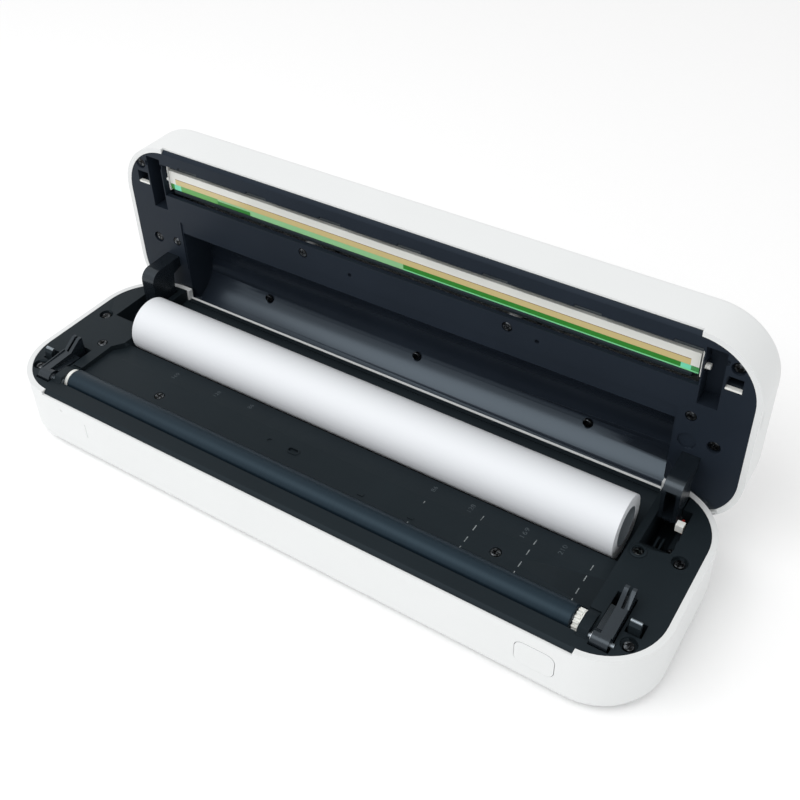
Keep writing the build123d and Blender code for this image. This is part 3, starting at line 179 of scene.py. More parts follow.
# Solder mask: glossy green with copper tracks a shade lighter under it, 0.8 mm apart.
mask_green, tree, shader, place = new_finish("green solder mask on glass-fibre board", 0.3, 1.55)
cells = add(tree, "ShaderNodeTexVoronoi", {"Scale": 400, "distance": "MANHATTAN"}, {"Vector": place})
tint = add(tree, "ShaderNodeValToRGB", {}, {"Fac": cells.outputs["Distance"]})
tint.color_ramp.elements[0].color = linear("#1B5E3B")
tint.color_ramp.elements[1].color = linear("#2A8053")
tree.links.new(tint.outputs["Color"], shader.inputs["Base Color"])
bump = add(tree, "ShaderNodeBump", {"Strength": 0.4, "Distance": 0.00003},
           {"Height": cells.outputs["Distance"]})
tree.links.new(bump.outputs["Normal"], shader.inputs["Normal"])
dress(mask_green, "main_board", "button_board", "light_board", "port_board")

# Shrink film: glossy blue, pulled into soft wrinkles some 8 mm long.
shrink_blue, tree, shader, place = new_finish("blue shrink film", 0.25, 1.54)
pulled = add(tree, "ShaderNodeMapping", {"Scale": [1, 3, 3]}, {"Vector": place})
folds = add(tree, "ShaderNodeTexNoise", {"Scale": 120, "Detail": 3}, {"Vector": pulled.outputs["Vector"]})
tint = add(tree, "ShaderNodeValToRGB", {}, {"Fac": folds.outputs["Fac"]})
tint.color_ramp.elements[0].color = linear("#2B5892")
tint.color_ramp.elements[1].color = linear("#3D73B4")
tree.links.new(tint.outputs["Color"], shader.inputs["Base Color"])
bump = add(tree, "ShaderNodeBump", {"Strength": 0.7, "Distance": 0.0001}, {"Height": folds.outputs["Fac"]})
tree.links.new(bump.outputs["Normal"], shader.inputs["Normal"])
dress(shrink_blue, "battery_pack")


# ---- shafts, pins, plates and springs of bright steel ----
# Nickel-plated steel: the shafts and pins are ground, the bracket and socket stamped, the springs
# wound. Fine lines run round them, and the plating's gloss drifts a little.
steel_bright, tree, shader, place = new_finish("nickel-plated steel", 0.26, 1.5, 1.0)
drawn = add(tree, "ShaderNodeMapping", {"Scale": [5, 1, 1]}, {"Vector": place})
lines = add(tree, "ShaderNodeTexNoise", {"Scale": 900, "Detail": 2}, {"Vector": drawn.outputs["Vector"]})
bump = add(tree, "ShaderNodeBump", {"Strength": 0.5, "Distance": 0.00001}, {"Height": lines.outputs["Fac"]})
tree.links.new(bump.outputs["Normal"], shader.inputs["Normal"])
drift = add(tree, "ShaderNodeTexNoise", {"Scale": 260, "Detail": 3}, {"Vector": place})
tint = add(tree, "ShaderNodeValToRGB", {}, {"Fac": drift.outputs["Fac"]})
tint.color_ramp.elements[0].color = linear("#BEC2C6")
tint.color_ramp.elements[1].color = linear("#D6D9DC")
tree.links.new(tint.outputs["Color"], shader.inputs["Base Color"])
gloss = add(tree, "ShaderNodeMapRange", {"To Min": 0.2, "To Max": 0.36}, {"Value": drift.outputs["Fac"]})
tree.links.new(gloss.outputs["Result"], shader.inputs["Roughness"])
dress(steel_bright, "idler_pin", "motor_shaft", "motor_body", "motor_bracket", "lever_springs",
      "head_springs", "charging_port")
for name, body in (("platen_shaft", "platen"), ("hinge_pins", "base")):
    smooth_copy(name, body, steel_bright)

# The lever and latch pins are plain ground steel, oiled and greyer, so their ends stay quiet.
steel_oiled, tree, shader, place = new_finish("oiled ground steel", 0.38, 1.5, 1.0)
drift = add(tree, "ShaderNodeTexNoise", {"Scale": 700, "Detail": 3}, {"Vector": place})
tint = add(tree, "ShaderNodeValToRGB", {}, {"Fac": drift.outputs["Fac"]})
tint.color_ramp.elements[0].color = linear("#6F777D")
tint.color_ramp.elements[1].color = linear("#8D959B")
tree.links.new(tint.outputs["Color"], shader.inputs["Base Color"])
bump = add(tree, "ShaderNodeBump", {"Strength": 0.5, "Distance": 0.00001}, {"Height": drift.outputs["Fac"]})
tree.links.new(bump.outputs["Normal"], shader.inputs["Normal"])
for name in ("lever_pins", "latch_pins"):
    smooth_copy(name, "base", steel_oiled)


# ---- screws ----
# Self-tapping pan-head screws of black-oxide steel with a cross recess. The oxide is rubbed thin
# in places, so the heads glint.
steel_black, tree, shader, place = new_finish("black-oxide steel", 0.3, 1.5, 1.0)
rubbed = add(tree, "ShaderNodeTexNoise", {"Scale": 900, "Detail": 3}, {"Vector": place})
tint = add(tree, "ShaderNodeValToRGB", {}, {"Fac": rubbed.outputs["Fac"]})
tint.color_ramp.elements[0].position = 0.45
tint.color_ramp.elements[0].color = linear("#1A1B1C")
tint.color_ramp.elements[1].position = 0.7
tint.color_ramp.elements[1].color = linear("#6E7276")
tree.links.new(tint.outputs["Color"], shader.inputs["Base Color"])
bump = add(tree, "ShaderNodeBump", {"Strength": 0.5, "Distance": 0.00001}, {"Height": rubbed.outputs["Fac"]})
tree.links.new(bump.outputs["Normal"], shader.inputs["Normal"])
for name, body in (("deck_screws", "base"), ("floor_screws", "base"), ("bay_screws", "base"),
                   ("lid_screws", "lid"), ("panel_screws", "lid"), ("room_screws", "lid")):
    smooth_copy(name, body, steel_black)


# ---- deck and lid plate ----
# Black mouldings of an ABS blend that fill both halves: the tray, the round trough and the
# platen's well below, the paper room and the head's window above. Screws hold them in the shells.

# Textured ABS blend: matt and slightly blue. The real grain of 0.2 mm is drawn at 0.5 mm.
plastic_dark, tree, shader, place = new_finish("moulded black ABS blend", 0.45, 1.5)
shader.inputs["Specular IOR Level"].default_value = 0.13
shader.inputs["Specular Tint"].default_value = (0.72, 0.87, 1, 1)
cloud = add(tree, "ShaderNodeTexNoise", {"Scale": 30, "Detail": 3}, {"Vector": place})
tint = add(tree, "ShaderNodeValToRGB", {}, {"Fac": cloud.outputs["Fac"]})
tint.color_ramp.elements[0].color = linear("#171D21")
tint.color_ramp.elements[1].color = linear("#1F262A")
tree.links.new(tint.outputs["Color"], shader.inputs["Base Color"])
gloss = add(tree, "ShaderNodeMapRange", {"To Min": 0.38, "To Max": 0.52}, {"Value": cloud.outputs["Fac"]})
tree.links.new(gloss.outputs["Result"], shader.inputs["Roughness"])
grain = add(tree, "ShaderNodeTexNoise", {"Scale": 2000, "Detail": 2}, {"Vector": place})
bump = add(tree, "ShaderNodeBump", {"Strength": 0.6, "Distance": 0.000012}, {"Height": grain.outputs["Fac"]})
tree.links.new(bump.outputs["Normal"], shader.inputs["Normal"])
deck = smooth_copy("base_deck", "base", plastic_dark)
smooth_copy("latch_posts", "base", plastic_dark, 0.00015)
dress(plastic_dark, "paper_sensor", "tact_switch")

# The lid plate is the same plastic, but its round paper room is polished, so that paper slides
# over it: there it mirrors the sky in a soft blue-grey band.
plastic_lid, tree, shader, place = new_finish("black ABS blend with a polished room", 0.45, 1.5)
shader.inputs["Specular Tint"].default_value = (0.72, 0.87, 1, 1)
cloud = add(tree, "ShaderNodeTexNoise", {"Scale": 30, "Detail": 3}, {"Vector": place})
tint = add(tree, "ShaderNodeValToRGB", {}, {"Fac": cloud.outputs["Fac"]})
tint.color_ramp.elements[0].color = linear("#1A2028")
tint.color_ramp.elements[1].color = linear("#222933")
tree.links.new(tint.outputs["Color"], shader.inputs["Base Color"])
ROOM_AXIS_Y = 0.0377     # axis and radius of the paper room, lid open
ROOM_AXIS_Z = 0.0365
ROOM_R = 0.0195
ROOM_SKIN = 0.0003       # how far from that radius a face still counts as polished
from_axis = add(tree, "ShaderNodeMapping", {"Location": (0, -ROOM_AXIS_Y, -ROOM_AXIS_Z)}, {"Vector": place})
across = add(tree, "ShaderNodeVectorMath", {"operation": "MULTIPLY", 1: (0, 1, 1)},
             {0: from_axis.outputs["Vector"]})
radius = add(tree, "ShaderNodeVectorMath", {"operation": "LENGTH"}, {0: across.outputs["Vector"]})
on_round = add(tree, "ShaderNodeMath", {"operation": "COMPARE", 1: ROOM_R, 2: ROOM_SKIN},
               {0: radius.outputs["Value"]})
ROOM_MOUTH = 0.0424      # the flat panel ends here and the room begins
parts = add(tree, "ShaderNodeSeparateXYZ", {}, {"Vector": place})
behind = add(tree, "ShaderNodeMath", {"operation": "GREATER_THAN", 1: ROOM_MOUTH}, {0: parts.outputs["Y"]})
polished = add(tree, "ShaderNodeMath", {"operation": "MULTIPLY"},
               {0: on_round.outputs["Value"], 1: behind.outputs["Value"]})
gloss = add(tree, "ShaderNodeMapRange", {"To Min": 0.45, "To Max": 0.24},
            {"Value": polished.outputs["Value"]})
tree.links.new(gloss.outputs["Result"], shader.inputs["Roughness"])
shine = add(tree, "ShaderNodeMapRange", {"To Min": 0.13, "To Max": 0.55},
            {"Value": polished.outputs["Value"]})
tree.links.new(shine.outputs["Result"], shader.inputs["Specular IOR Level"])
grain = add(tree, "ShaderNodeTexNoise", {"Scale": 2000, "Detail": 2}, {"Vector": place})
bump = add(tree, "ShaderNodeBump", {"Strength": 0.4, "Distance": 0.000008}, {"Height": grain.outputs["Fac"]})
tree.links.new(bump.outputs["Normal"], shader.inputs["Normal"])
smooth_copy("lid_plate", "lid", plastic_lid)


# ---- marks printed on the tray floor ----
# Pad-printed in pale grey ink: dashed lines where the right edges of the paper sizes run, and
# plain numbers for their widths in millimetres. The ink is thin and slightly worn.
INK_FILM = 0.00003
ink_grey, tree, shader, place = new_finish("worn grey pad-printing ink", 0.6, 1.5)
worn = add(tree, "ShaderNodeTexNoise", {"Scale": 1600, "Detail": 3}, {"Vector": place})
tint = add(tree, "ShaderNodeValToRGB", {}, {"Fac": worn.outputs["Fac"]})
tint.color_ramp.elements[0].position = 0.35
tint.color_ramp.elements[0].color = linear("#4A5053")
tint.color_ramp.elements[1].position = 0.6
tint.color_ramp.elements[1].color = linear("#8F9698")
tree.links.new(tint.outputs["Color"], shader.inputs["Base Color"])


def print_mark(mark, name, ink):
    """Lays a flat mark on the deck as a film of ink, and finishes it."""
    bpy.ops.object.select_all(action="DESELECT")
    mark.select_set(True)
    bpy.context.view_layer.objects.active = mark
    mark.name = name
    lay = mark.modifiers.new("lay", "SHRINKWRAP")
    lay.target = deck
    lay.wrap_method = "PROJECT"
    lay.use_project_z = True
    lay.use_negative_direction = True
    lay.use_positive_direction = False
    lay.offset = INK_FILM
    bpy.ops.object.modifier_apply(modifier="lay")
    mark.data.materials.clear()
    mark.data.materials.append(ink)
    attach(mark, "base")


MARK_START = 0.03      # over the deck, from where a mark is laid down
DASH_W = 0.00034
DASH_L = 0.0026
bpy.ops.object.select_all(action="DESELECT")
bpy.ops.mesh.primitive_grid_add(x_subdivisions=1, y_subdivisions=4, size=1)
first_dash = bpy.context.active_object
first_dash.data.transform(Matrix.Diagonal((DASH_W, DASH_L, 1, 1)))
DASHED_LINES = (0.0640, 0.0845, 0.1054)
DASH_ROWS = (-0.0181, -0.0122, -0.0069)
SHORT_ROW = -0.0221      # each line starts with a stub of a dash here
dashes = [(x, y, 1.0) for x in DASHED_LINES for y in DASH_ROWS]
dashes += [(x, SHORT_ROW, 0.4) for x in DASHED_LINES]
dashes += [(0.0431, -0.0222, 0.3), (0.0431, -0.0112, 0.4)]
for number, (x, y, share) in enumerate(dashes):
    dash = first_dash.copy()
    dash.data = first_dash.data.copy()
    dash.data.transform(Matrix.Translation((x, y, MARK_START)) @ Matrix.Diagonal((1, share, 1, 1)))
    bpy.context.collection.objects.link(dash)
    print_mark(dash, "dash_" + str(number + 1), ink_grey)
bpy.data.objects.remove(first_dash)

# The numbers are rubbed nearly away, so the same ink is darker there.
ink_rubbed, tree, shader, place = new_finish("rubbed grey pad-printing ink", 0.6, 1.5)
shader.inputs["Specular IOR Level"].default_value = 0.2
worn = add(tree, "ShaderNodeTexNoise", {"Scale": 1600, "Detail": 3}, {"Vector": place})
tint = add(tree, "ShaderNodeValToRGB", {}, {"Fac": worn.outputs["Fac"]})
tint.color_ramp.elements[0].position = 0.35
tint.color_ramp.elements[0].color = linear("#2C3338")
tint.color_ramp.elements[1].position = 0.65
tint.color_ramp.elements[1].color = linear("#4E565B")
tree.links.new(tint.outputs["Color"], shader.inputs["Base Color"])
NUMBER_H = 0.0017
# What each number says, its place and its length along the paper's path.
widths = (("86", 0.0427, -0.0035, 0.0029), ("128", 0.0585, -0.0049, 0.0039),
          ("169", 0.0796, -0.0050, 0.0051), ("210", 0.0939, -0.0048, 0.0049),
          ("86", -0.0410, -0.0035, 0.0026), ("128", -0.0570, -0.0048, 0.0034),
          ("169", -0.0785, -0.0050, 0.0036))
for number, x, y, length in widths:
    bpy.ops.object.select_all(action="DESELECT")
    bpy.ops.object.text_add()
    width = bpy.context.active_object
    width.data.body = number
    width.data.align_x = "CENTER"
    width.data.align_y = "CENTER"
    width.data.resolution_u = 3
    bpy.ops.object.convert(target="MESH")
    width = bpy.context.active_object
    fit = Matrix.Diagonal((length / width.dimensions.x, NUMBER_H / width.dimensions.y, 1, 1))
    turn = Matrix.Rotation(radians(90), 4, "Z")
    width.data.transform(Matrix.Translation((x, y, MARK_START)) @ turn @ fit)
    print_mark(width, "width_" + number + ("_left" if x < 0 else "_right"), ink_rubbed)


# ---- platen, its bearings and the gears ----
# The platen is a steel shaft in a sleeve of ground silicone rubber, with an acetal gear on its
# right end. It turns in two white acetal bushes that black blocks hold down.

# Ground rubber: dark blue-grey, satin, with faint rings from the grinding wheel 0.7 mm apart.
rubber_platen, tree, shader, place = new_finish("ground platen rubber", 0.42, 1.45)
shader.inputs["Specular IOR Level"].default_value = 0.36
shader.inputs["Specular Tint"].default_value = (0.6, 0.84, 1, 1)
rings = add(tree, "ShaderNodeMapping", {"Scale": [1, 0.05, 0.05]}, {"Vector": place})
ground = add(tree, "ShaderNodeTexNoise", {"Scale": 1400, "Detail": 2}, {"Vector": rings.outputs["Vector"]})
tint = add(tree, "ShaderNodeValToRGB", {}, {"Fac": ground.outputs["Fac"]})
tint.color_ramp.elements[0].color = linear("#111B23")
tint.color_ramp.elements[1].color = linear("#18252F")
tree.links.new(tint.outputs["Color"], shader.inputs["Base Color"])
bump = add(tree, "ShaderNodeBump", {"Strength": 0.4, "Distance": 0.00001}, {"Height": ground.outputs["Fac"]})
tree.links.new(bump.outputs["Normal"], shader.inputs["Normal"])
smooth_copy("platen_rubber", "platen", rubber_platen)

# Acetal: white, slightly translucent and waxy, so its gloss is soft.
acetal, tree, shader, place = new_finish("moulded white acetal", 0.32, 1.48)
shader.inputs["Subsurface Weight"].default_value = 0.15
shader.inputs["Subsurface Radius"].default_value = (0.001, 0.0009, 0.0008)
flow = add(tree, "ShaderNodeTexNoise", {"Scale": 300, "Detail": 3}, {"Vector": place})
tint = add(tree, "ShaderNodeValToRGB", {}, {"Fac": flow.outputs["Fac"]})
tint.color_ramp.elements[0].color = linear("#E2E3DF")
tint.color_ramp.elements[1].color = linear("#F0F1ED")
tree.links.new(tint.outputs["Color"], shader.inputs["Base Color"])
bump = add(tree, "ShaderNodeBump", {"Strength": 0.3, "Distance": 0.00002}, {"Height": flow.outputs["Fac"]})
tree.links.new(bump.outputs["Normal"], shader.inputs["Normal"])
for name, body in (("platen_gear", "platen"), ("platen_bush_left", "base"), ("platen_bush_right", "base"),
                   ("idler_gear", "idler"), ("lead_connector", "base"), ("lid_keepers", "lid")):
    smooth_copy(name, body, acetal)

# Turned brass: warm yellow, with fine marks from the tool.
brass, tree, shader, place = new_finish("turned brass", 0.28, 1.5, 1.0)
turned = add(tree, "ShaderNodeTexNoise", {"Scale": 1200, "Detail": 3}, {"Vector": place})
tint = add(tree, "ShaderNodeValToRGB", {}, {"Fac": turned.outputs["Fac"]})
tint.color_ramp.elements[0].color = linear("#B9954C")
tint.color_ramp.elements[1].color = linear("#D8B76E")
tree.links.new(tint.outputs["Color"], shader.inputs["Base Color"])
bump = add(tree, "ShaderNodeBump", {"Strength": 0.4, "Distance": 0.00001}, {"Height": turned.outputs["Fac"]})
tree.links.new(bump.outputs["Normal"], shader.inputs["Normal"])
dress(brass, "motor_pinion")
for side in ("left", "right"):
    smooth_copy("platen_clip_" + side, "base", plastic_dark, 0.0002)


# ---- levers, goosenecks and the head's lead ----
# Levers and goosenecks are glass-filled black nylon, a little lighter and glossier than the deck
# where their edges are rounded. They turn on steel pins. A red lead runs to the head at the right.
nylon, tree, shader, place = new_finish("glass-filled black nylon", 0.26, 1.53)
shader.inputs["Specular IOR Level"].default_value = 0.5
shader.inputs["Specular Tint"].default_value = (0.78, 0.9, 1, 1)
fibres = add(tree, "ShaderNodeMapping", {"Scale": [3, 1, 1]}, {"Vector": place})
streaks = add(tree, "ShaderNodeTexNoise", {"Scale": 500, "Detail": 4}, {"Vector": fibres.outputs["Vector"]})
tint = add(tree, "ShaderNodeValToRGB", {}, {"Fac": streaks.outputs["Fac"]})
tint.color_ramp.elements[0].color = linear("#0F1317")
tint.color_ramp.elements[1].color = linear("#191F25")
tree.links.new(tint.outputs["Color"], shader.inputs["Base Color"])
bump = add(tree, "ShaderNodeBump", {"Strength": 0.5, "Distance": 0.00002}, {"Height": streaks.outputs["Fac"]})
tree.links.new(bump.outputs["Normal"], shader.inputs["Normal"])
for side in ("left", "right"):
    smooth_copy("guide_lever_" + side, "lever_" + side, nylon, 0.0002)
    smooth_copy("hinge_arm_" + side, "lid", nylon, 0.0003)

# PVC insulation: bright red, smooth from the extruder.
lead_red, tree, shader, place = new_finish("red PVC insulation", 0.35, 1.53)
drawn = add(tree, "ShaderNodeTexNoise", {"Scale": 700, "Detail": 3}, {"Vector": place})
tint = add(tree, "ShaderNodeValToRGB", {}, {"Fac": drawn.outputs["Fac"]})
tint.color_ramp.elements[0].color = linear("#A01B17")
tint.color_ramp.elements[1].color = linear("#C42E25")
tree.links.new(tint.outputs["Color"], shader.inputs["Base Color"])
bump = add(tree, "ShaderNodeBump", {"Strength": 0.3, "Distance": 0.00002}, {"Height": drawn.outputs["Fac"]})
tree.links.new(bump.outputs["Normal"], shader.inputs["Normal"])
smooth_copy("lead_wire", "base", lead_red)


# ---- status light ----
# A round light pipe and a narrow light bar of milky polycarbonate, pressed into the front wall
# and only a shade darker than it while they are off.
pipe_milky, tree, shader, place = new_finish("milky polycarbonate light pipe", 0.25, 1.58)
milk = add(tree, "ShaderNodeTexNoise", {"Scale": 1100, "Detail": 2}, {"Vector": place})
tint = add(tree, "ShaderNodeValToRGB", {}, {"Fac": milk.outputs["Fac"]})
tint.color_ramp.elements[0].color = linear("#D6D9D9")
tint.color_ramp.elements[1].color = linear("#DFE1E0")
tree.links.new(tint.outputs["Color"], shader.inputs["Base Color"])
smooth_copy("status_light", "base", pipe_milky)


# ---- paper roll ----
# A coreless roll of coated thermal paper, 216 mm wide. Its flat ends show the wound edges, which are
# drawn 0.45 mm apart, because real windings of 0.06 mm are too fine to show. The grey of their
# troughs is painted shade, which darkens the ends.
WINDING = 0.00045
paper, tree, shader, place = new_finish("coated thermal paper", 0.55, 1.48)
roll_low, roll_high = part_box("paper_roll")
axis_y = (roll_low[1] + roll_high[1]) / 2
axis_z = (roll_low[2] + roll_high[2]) / 2
centred = add(tree, "ShaderNodeMapping", {"Location": [0, -axis_y, -axis_z]}, {"Vector": place})
flat = add(tree, "ShaderNodeVectorMath", {"operation": "MULTIPLY", 1: (0, 1, 1)},
           {0: centred.outputs["Vector"]})
radius = add(tree, "ShaderNodeVectorMath", {"operation": "LENGTH"}, {0: flat.outputs["Vector"]})
turns = add(tree, "ShaderNodeMath", {"operation": "MULTIPLY", 1: 2 * pi / WINDING},
            {0: radius.outputs["Value"]})
wave = add(tree, "ShaderNodeMath", {"operation": "SINE"}, {0: turns.outputs["Value"]})
surface = add(tree, "ShaderNodeNewGeometry", {})
facing = add(tree, "ShaderNodeSeparateXYZ", {}, {"Vector": surface.outputs["True Normal"]})
end_face = add(tree, "ShaderNodeMath", {"operation": "ABSOLUTE"}, {0: facing.outputs["X"]})
wound_rings_and_shade = add(tree, "ShaderNodeMath", {"operation": "MULTIPLY"},
            {0: wave.outputs["Value"], 1: end_face.outputs["Value"]})
shade = add(tree, "ShaderNodeMath", {"operation": "MULTIPLY_ADD", 1: 0.35, 2: 0.5},
            {0: wound_rings_and_shade.outputs["Value"]})
# The windings on the end faces: pale crests, and grey troughs that are painted shade.
tint = add(tree, "ShaderNodeValToRGB", {}, {"Fac": shade.outputs["Value"]})
tint.color_ramp.elements[0].color = linear("#B4BCC0")
tint.color_ramp.elements[1].position = 0.5
tint.color_ramp.elements[1].color = linear("#E6E9ED")
# Painted shade: the eye at each end is coloured a darker grey for the shade that lies in it.
SHADED_EYE_R = 0.0074           # the eye that the winding leaves at each end lies in shade
painted_eye_shade = add(tree, "ShaderNodeMath", {"operation": "LESS_THAN", 1: SHADED_EYE_R}, {0: radius.outputs["Value"]})
face = add(tree, "ShaderNodeMix", {"data_type": "RGBA", 7: linear("#7C848A")},
           {0: painted_eye_shade.outputs["Value"], 6: tint.outputs["Color"]})
tree.links.new(face.outputs[2], shader.inputs["Base Color"])
fibre = add(tree, "ShaderNodeTexNoise", {"Scale": 900, "Detail": 4}, {"Vector": place})
height = add(tree, "ShaderNodeMath", {"operation": "ADD"},
             {0: fibre.outputs["Fac"], 1: wound_rings_and_shade.outputs["Value"]})
bump = add(tree, "ShaderNodeBump", {"Strength": 0.4, "Distance": 0.00003},
           {"Height": height.outputs["Value"]})
tree.links.new(bump.outputs["Normal"], shader.inputs["Normal"])
smooth_copy("paper_roll", "roll", paper)


# ---- print head ----
# An anodised aluminium bar carries a glazed ceramic strip, a green board with the drivers under a
# black cover, and a white end plate with a guide pin at each end.

# Anodised aluminium: dark grey metal with fine lines along the extrusion.
anodised, tree, shader, place = new_finish("dark anodised aluminium", 0.38, 1.5, 1.0)
drawn = add(tree, "ShaderNodeMapping", {"Scale": [0.1, 1, 1]}, {"Vector": place})
lines = add(tree, "ShaderNodeTexNoise", {"Scale": 1500, "Detail": 3}, {"Vector": drawn.outputs["Vector"]})
tint = add(tree, "ShaderNodeValToRGB", {}, {"Fac": lines.outputs["Fac"]})
tint.color_ramp.elements[0].color = linear("#4A5055")
tint.color_ramp.elements[1].color = linear("#6A7176")
tree.links.new(tint.outputs["Color"], shader.inputs["Base Color"])
bump = add(tree, "ShaderNodeBump", {"Strength": 0.4, "Distance": 0.00001}, {"Height": lines.outputs["Fac"]})
tree.links.new(bump.outputs["Normal"], shader.inputs["Normal"])
smooth_copy("head_bar", "print_head", anodised)
smooth_copy("head_cover", "print_head", plastic_dark)
for name in ("head_ends", "head_pins"):
    smooth_copy(name, "print_head", acetal)

# Glazed ceramic: white glaze, then the brown line of heaters, then tan conductors to the rear.
# The bands are shares of the strip's height, downwards from its upper edge.
HEATER_LINE = 0.55
CONDUCTORS = 0.59
BARE_FROM = 0.1120       # past here the strip's ends are bare glaze
ceramic, tree, shader, place = new_finish("glazed alumina ceramic", 0.16, 1.6)
parts = add(tree, "ShaderNodeSeparateXYZ", {}, {"Vector": place})
strip_low, strip_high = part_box("head_ceramic")
down = add(tree, "ShaderNodeMapRange", {"From Min": strip_high[2], "From Max": strip_low[2]},
           {"Value": parts.outputs["Z"]})
bands = add(tree, "ShaderNodeValToRGB", {}, {"Fac": down.outputs["Result"]})
bands.color_ramp.interpolation = "CONSTANT"
bands.color_ramp.elements[0].color = linear("#E3E4DE")
bands.color_ramp.elements[1].position = HEATER_LINE
bands.color_ramp.elements[1].color = linear("#8C6B4C")
conductors = bands.color_ramp.elements.new(CONDUCTORS)
conductors.color = linear("#CDBB84")
ends = add(tree, "ShaderNodeMath", {"operation": "ABSOLUTE"}, {0: parts.outputs["X"]})
bare = add(tree, "ShaderNodeMath", {"operation": "GREATER_THAN", 1: BARE_FROM}, {0: ends.outputs["Value"]})
face = add(tree, "ShaderNodeMix", {"data_type": "RGBA", 7: linear("#E3E4DE")},
           {0: bare.outputs["Value"], 6: bands.outputs["Color"]})
tree.links.new(face.outputs[2], shader.inputs["Base Color"])
glaze = add(tree, "ShaderNodeTexNoise", {"Scale": 500, "Detail": 2}, {"Vector": place})
bump = add(tree, "ShaderNodeBump", {"Strength": 0.3, "Distance": 0.00001}, {"Height": glaze.outputs["Fac"]})
tree.links.new(bump.outputs["Normal"], shader.inputs["Normal"])
smooth_copy("head_ceramic", "print_head", ceramic)

# The head's board: green mask, pale over the wide copper areas of its left half, with a dark patch
# there, mint solder lands at the ends, and a thin mint line along the right half's lower edge that is a
# painted highlight.
mask_bright, tree, shader, place = new_finish("green mask over copper areas", 0.3, 1.55)
parts = add(tree, "ShaderNodeSeparateXYZ", {}, {"Vector": place})
board_low, board_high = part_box("head_board")
along = add(tree, "ShaderNodeMapRange", {"From Min": board_low[0], "From Max": board_high[0]},
            {"Value": parts.outputs["X"]})
areas = add(tree, "ShaderNodeValToRGB", {}, {"Fac": along.outputs["Result"]})
areas.color_ramp.interpolation = "CONSTANT"
stops = areas.color_ramp.elements
stops.remove(stops[1])
stops[0].color = linear("#3F8F3C")
for x, code in ((-0.1140, "#74DDB4"), (-0.1100, "#5FA852"), (-0.0900, "#8CC48C"), (0.0, "#23801F"),
                (0.1079, "#74DDB4"), (0.1122, "#3F9350")):
    stops.new((x - board_low[0]) / (board_high[0] - board_low[0])).color = linear(code)
down = add(tree, "ShaderNodeMapRange", {"From Min": board_high[2], "From Max": board_low[2]},
           {"Value": parts.outputs["Z"]})
PATCH_X = -0.0815        # middle of the dark patch
PATCH_HALF = 0.0085
PATCH_TOP = 0.4          # shares of the board's height, downwards
HIGHLIGHT_TOP = 0.8
beside = add(tree, "ShaderNodeMath", {"operation": "COMPARE", 1: PATCH_X, 2: PATCH_HALF},
             {0: parts.outputs["X"]})
lower = add(tree, "ShaderNodeMath", {"operation": "GREATER_THAN", 1: PATCH_TOP}, {0: down.outputs["Result"]})
patch = add(tree, "ShaderNodeMath", {"operation": "MULTIPLY"},
            {0: beside.outputs["Value"], 1: lower.outputs["Value"]})
patched = add(tree, "ShaderNodeMix", {"data_type": "RGBA", 7: linear("#1F7A22")},
              {0: patch.outputs["Value"], 6: areas.outputs["Color"]})
# Painted highlight: a thin mint line along the lower edge of the board's right half.
right = add(tree, "ShaderNodeMath", {"operation": "GREATER_THAN", 1: 0.0}, {0: parts.outputs["X"]})
edge = add(tree, "ShaderNodeMath", {"operation": "GREATER_THAN", 1: HIGHLIGHT_TOP}, {0: down.outputs["Result"]})
painted_highlight_line = add(tree, "ShaderNodeMath", {"operation": "MULTIPLY"},
           {0: right.outputs["Value"], 1: edge.outputs["Value"]})
face = add(tree, "ShaderNodeMix", {"data_type": "RGBA", 7: linear("#7FD99A")},
           {0: painted_highlight_line.outputs["Value"], 6: patched.outputs[2]})
tree.links.new(face.outputs[2], shader.inputs["Base Color"])
tracks = add(tree, "ShaderNodeTexNoise", {"Scale": 900, "Detail": 2}, {"Vector": place})
bump = add(tree, "ShaderNodeBump", {"Strength": 0.3, "Distance": 0.00002}, {"Height": tracks.outputs["Fac"]})
tree.links.new(bump.outputs["Normal"], shader.inputs["Normal"])
smooth_copy("head_board", "print_head", mask_bright)


# ---- floor, light and camera ----
# A pale studio floor, one large soft lamp over the front and a pale sky around it. The camera
# stands where the photograph was taken from.
bpy.ops.object.select_all(action="DESELECT")
FLOOR_SIZE = 6
bpy.ops.mesh.primitive_plane_add(size=FLOOR_SIZE, location=(0, 0, cad_box[0][2]))
floor = bpy.context.active_object
floor.name = "studio_floor"
floor_white, tree, shader, place = new_finish("pale studio floor", 0.95, 1.4)
shader.inputs["Specular IOR Level"].default_value = 0.1
shader.inputs["Base Color"].default_value = linear("#FFFFFF")
floor.data.materials.append(floor_white)

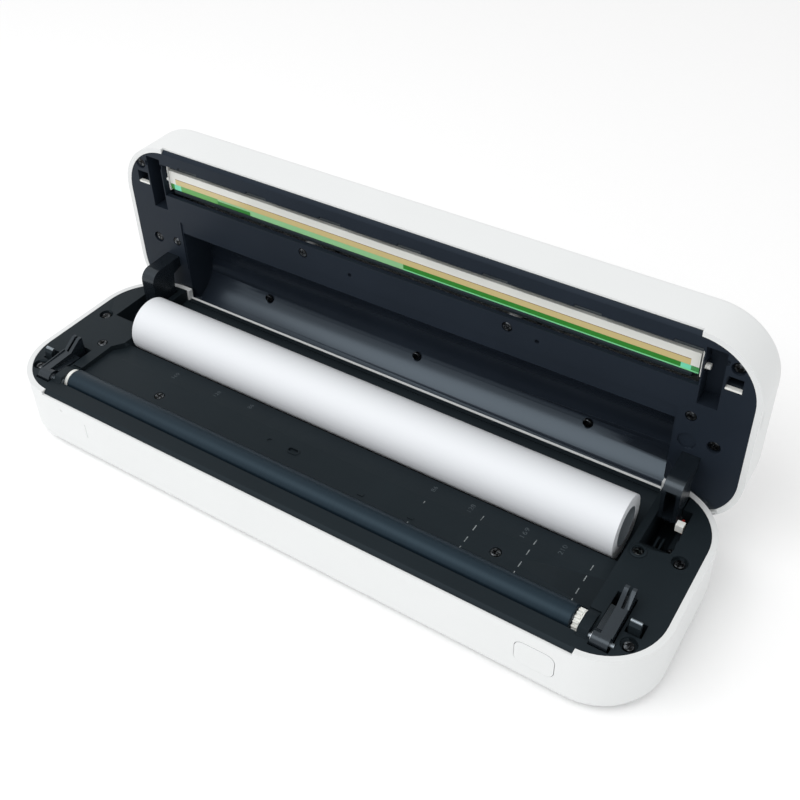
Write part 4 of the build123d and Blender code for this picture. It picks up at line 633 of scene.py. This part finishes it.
world = bpy.data.worlds.new("studio")
bpy.context.scene.world = world
world.use_nodes = True
tree = world.node_tree
background = tree.nodes["Background"]
background.inputs["Color"].default_value = linear("#FFFFFF")
rays = add(tree, "ShaderNodeLightPath", {})
seen = add(tree, "ShaderNodeMath", {"operation": "MAXIMUM"},
           {0: rays.outputs["Is Camera Ray"], 1: rays.outputs["Is Glossy Ray"]})
through = add(tree, "ShaderNodeMath", {"operation": "MAXIMUM"},
              {0: seen.outputs["Value"], 1: rays.outputs["Is Transmission Ray"]})
SKY = 0.79               # what lights the scene; what is seen or mirrored has strength 1
strength = add(tree, "ShaderNodeMapRange", {"To Min": SKY, "To Max": 1.0},
               {"Value": through.outputs["Value"]})
tree.links.new(strength.outputs["Result"], background.inputs["Strength"])

LAMP_PLACE = (-0.25, -0.55, 0.95)
LAMP_TARGET = Vector((0, 0, 0.03))
bpy.ops.object.light_add(type="AREA", location=LAMP_PLACE)
lamp = bpy.context.active_object
lamp.data.shape = "RECTANGLE"
lamp.data.size = 0.9
lamp.data.size_y = 0.7
lamp.data.energy = 5
lamp.rotation_euler = (LAMP_TARGET - lamp.location).to_track_quat("-Z", "Y").to_euler()

# The camera's distance, tilt, focal length and middle are in metres, degrees and pixels of the
# photograph's 800 x 800 frame.
PICTURE = 800
FOCAL = 1080.04
MIDDLE_X = 419.26
MIDDLE_Y = 321.38
DISTANCE = 0.4588
TILT = -0.45
SENSOR = 36
back = Vector((0.42374, -0.67184, 0.60752)).normalized()
spot = Vector((-0.01231, 0.07431, 0.0262))
bpy.ops.object.camera_add(location=spot + DISTANCE * back)
camera = bpy.context.active_object
turn = Matrix.Rotation(radians(TILT), 3, "Z")
camera.rotation_euler = ((-back).to_track_quat("-Z", "Y").to_matrix() @ turn).to_euler()
camera.data.sensor_width = SENSOR
camera.data.lens = SENSOR * FOCAL / PICTURE
camera.data.shift_x = (PICTURE / 2 - MIDDLE_X) / PICTURE
camera.data.shift_y = (MIDDLE_Y - PICTURE / 2) / PICTURE
camera.data.clip_start = 0.01
bpy.context.scene.camera = camera
bpy.context.scene.view_settings.view_transform = "Standard"
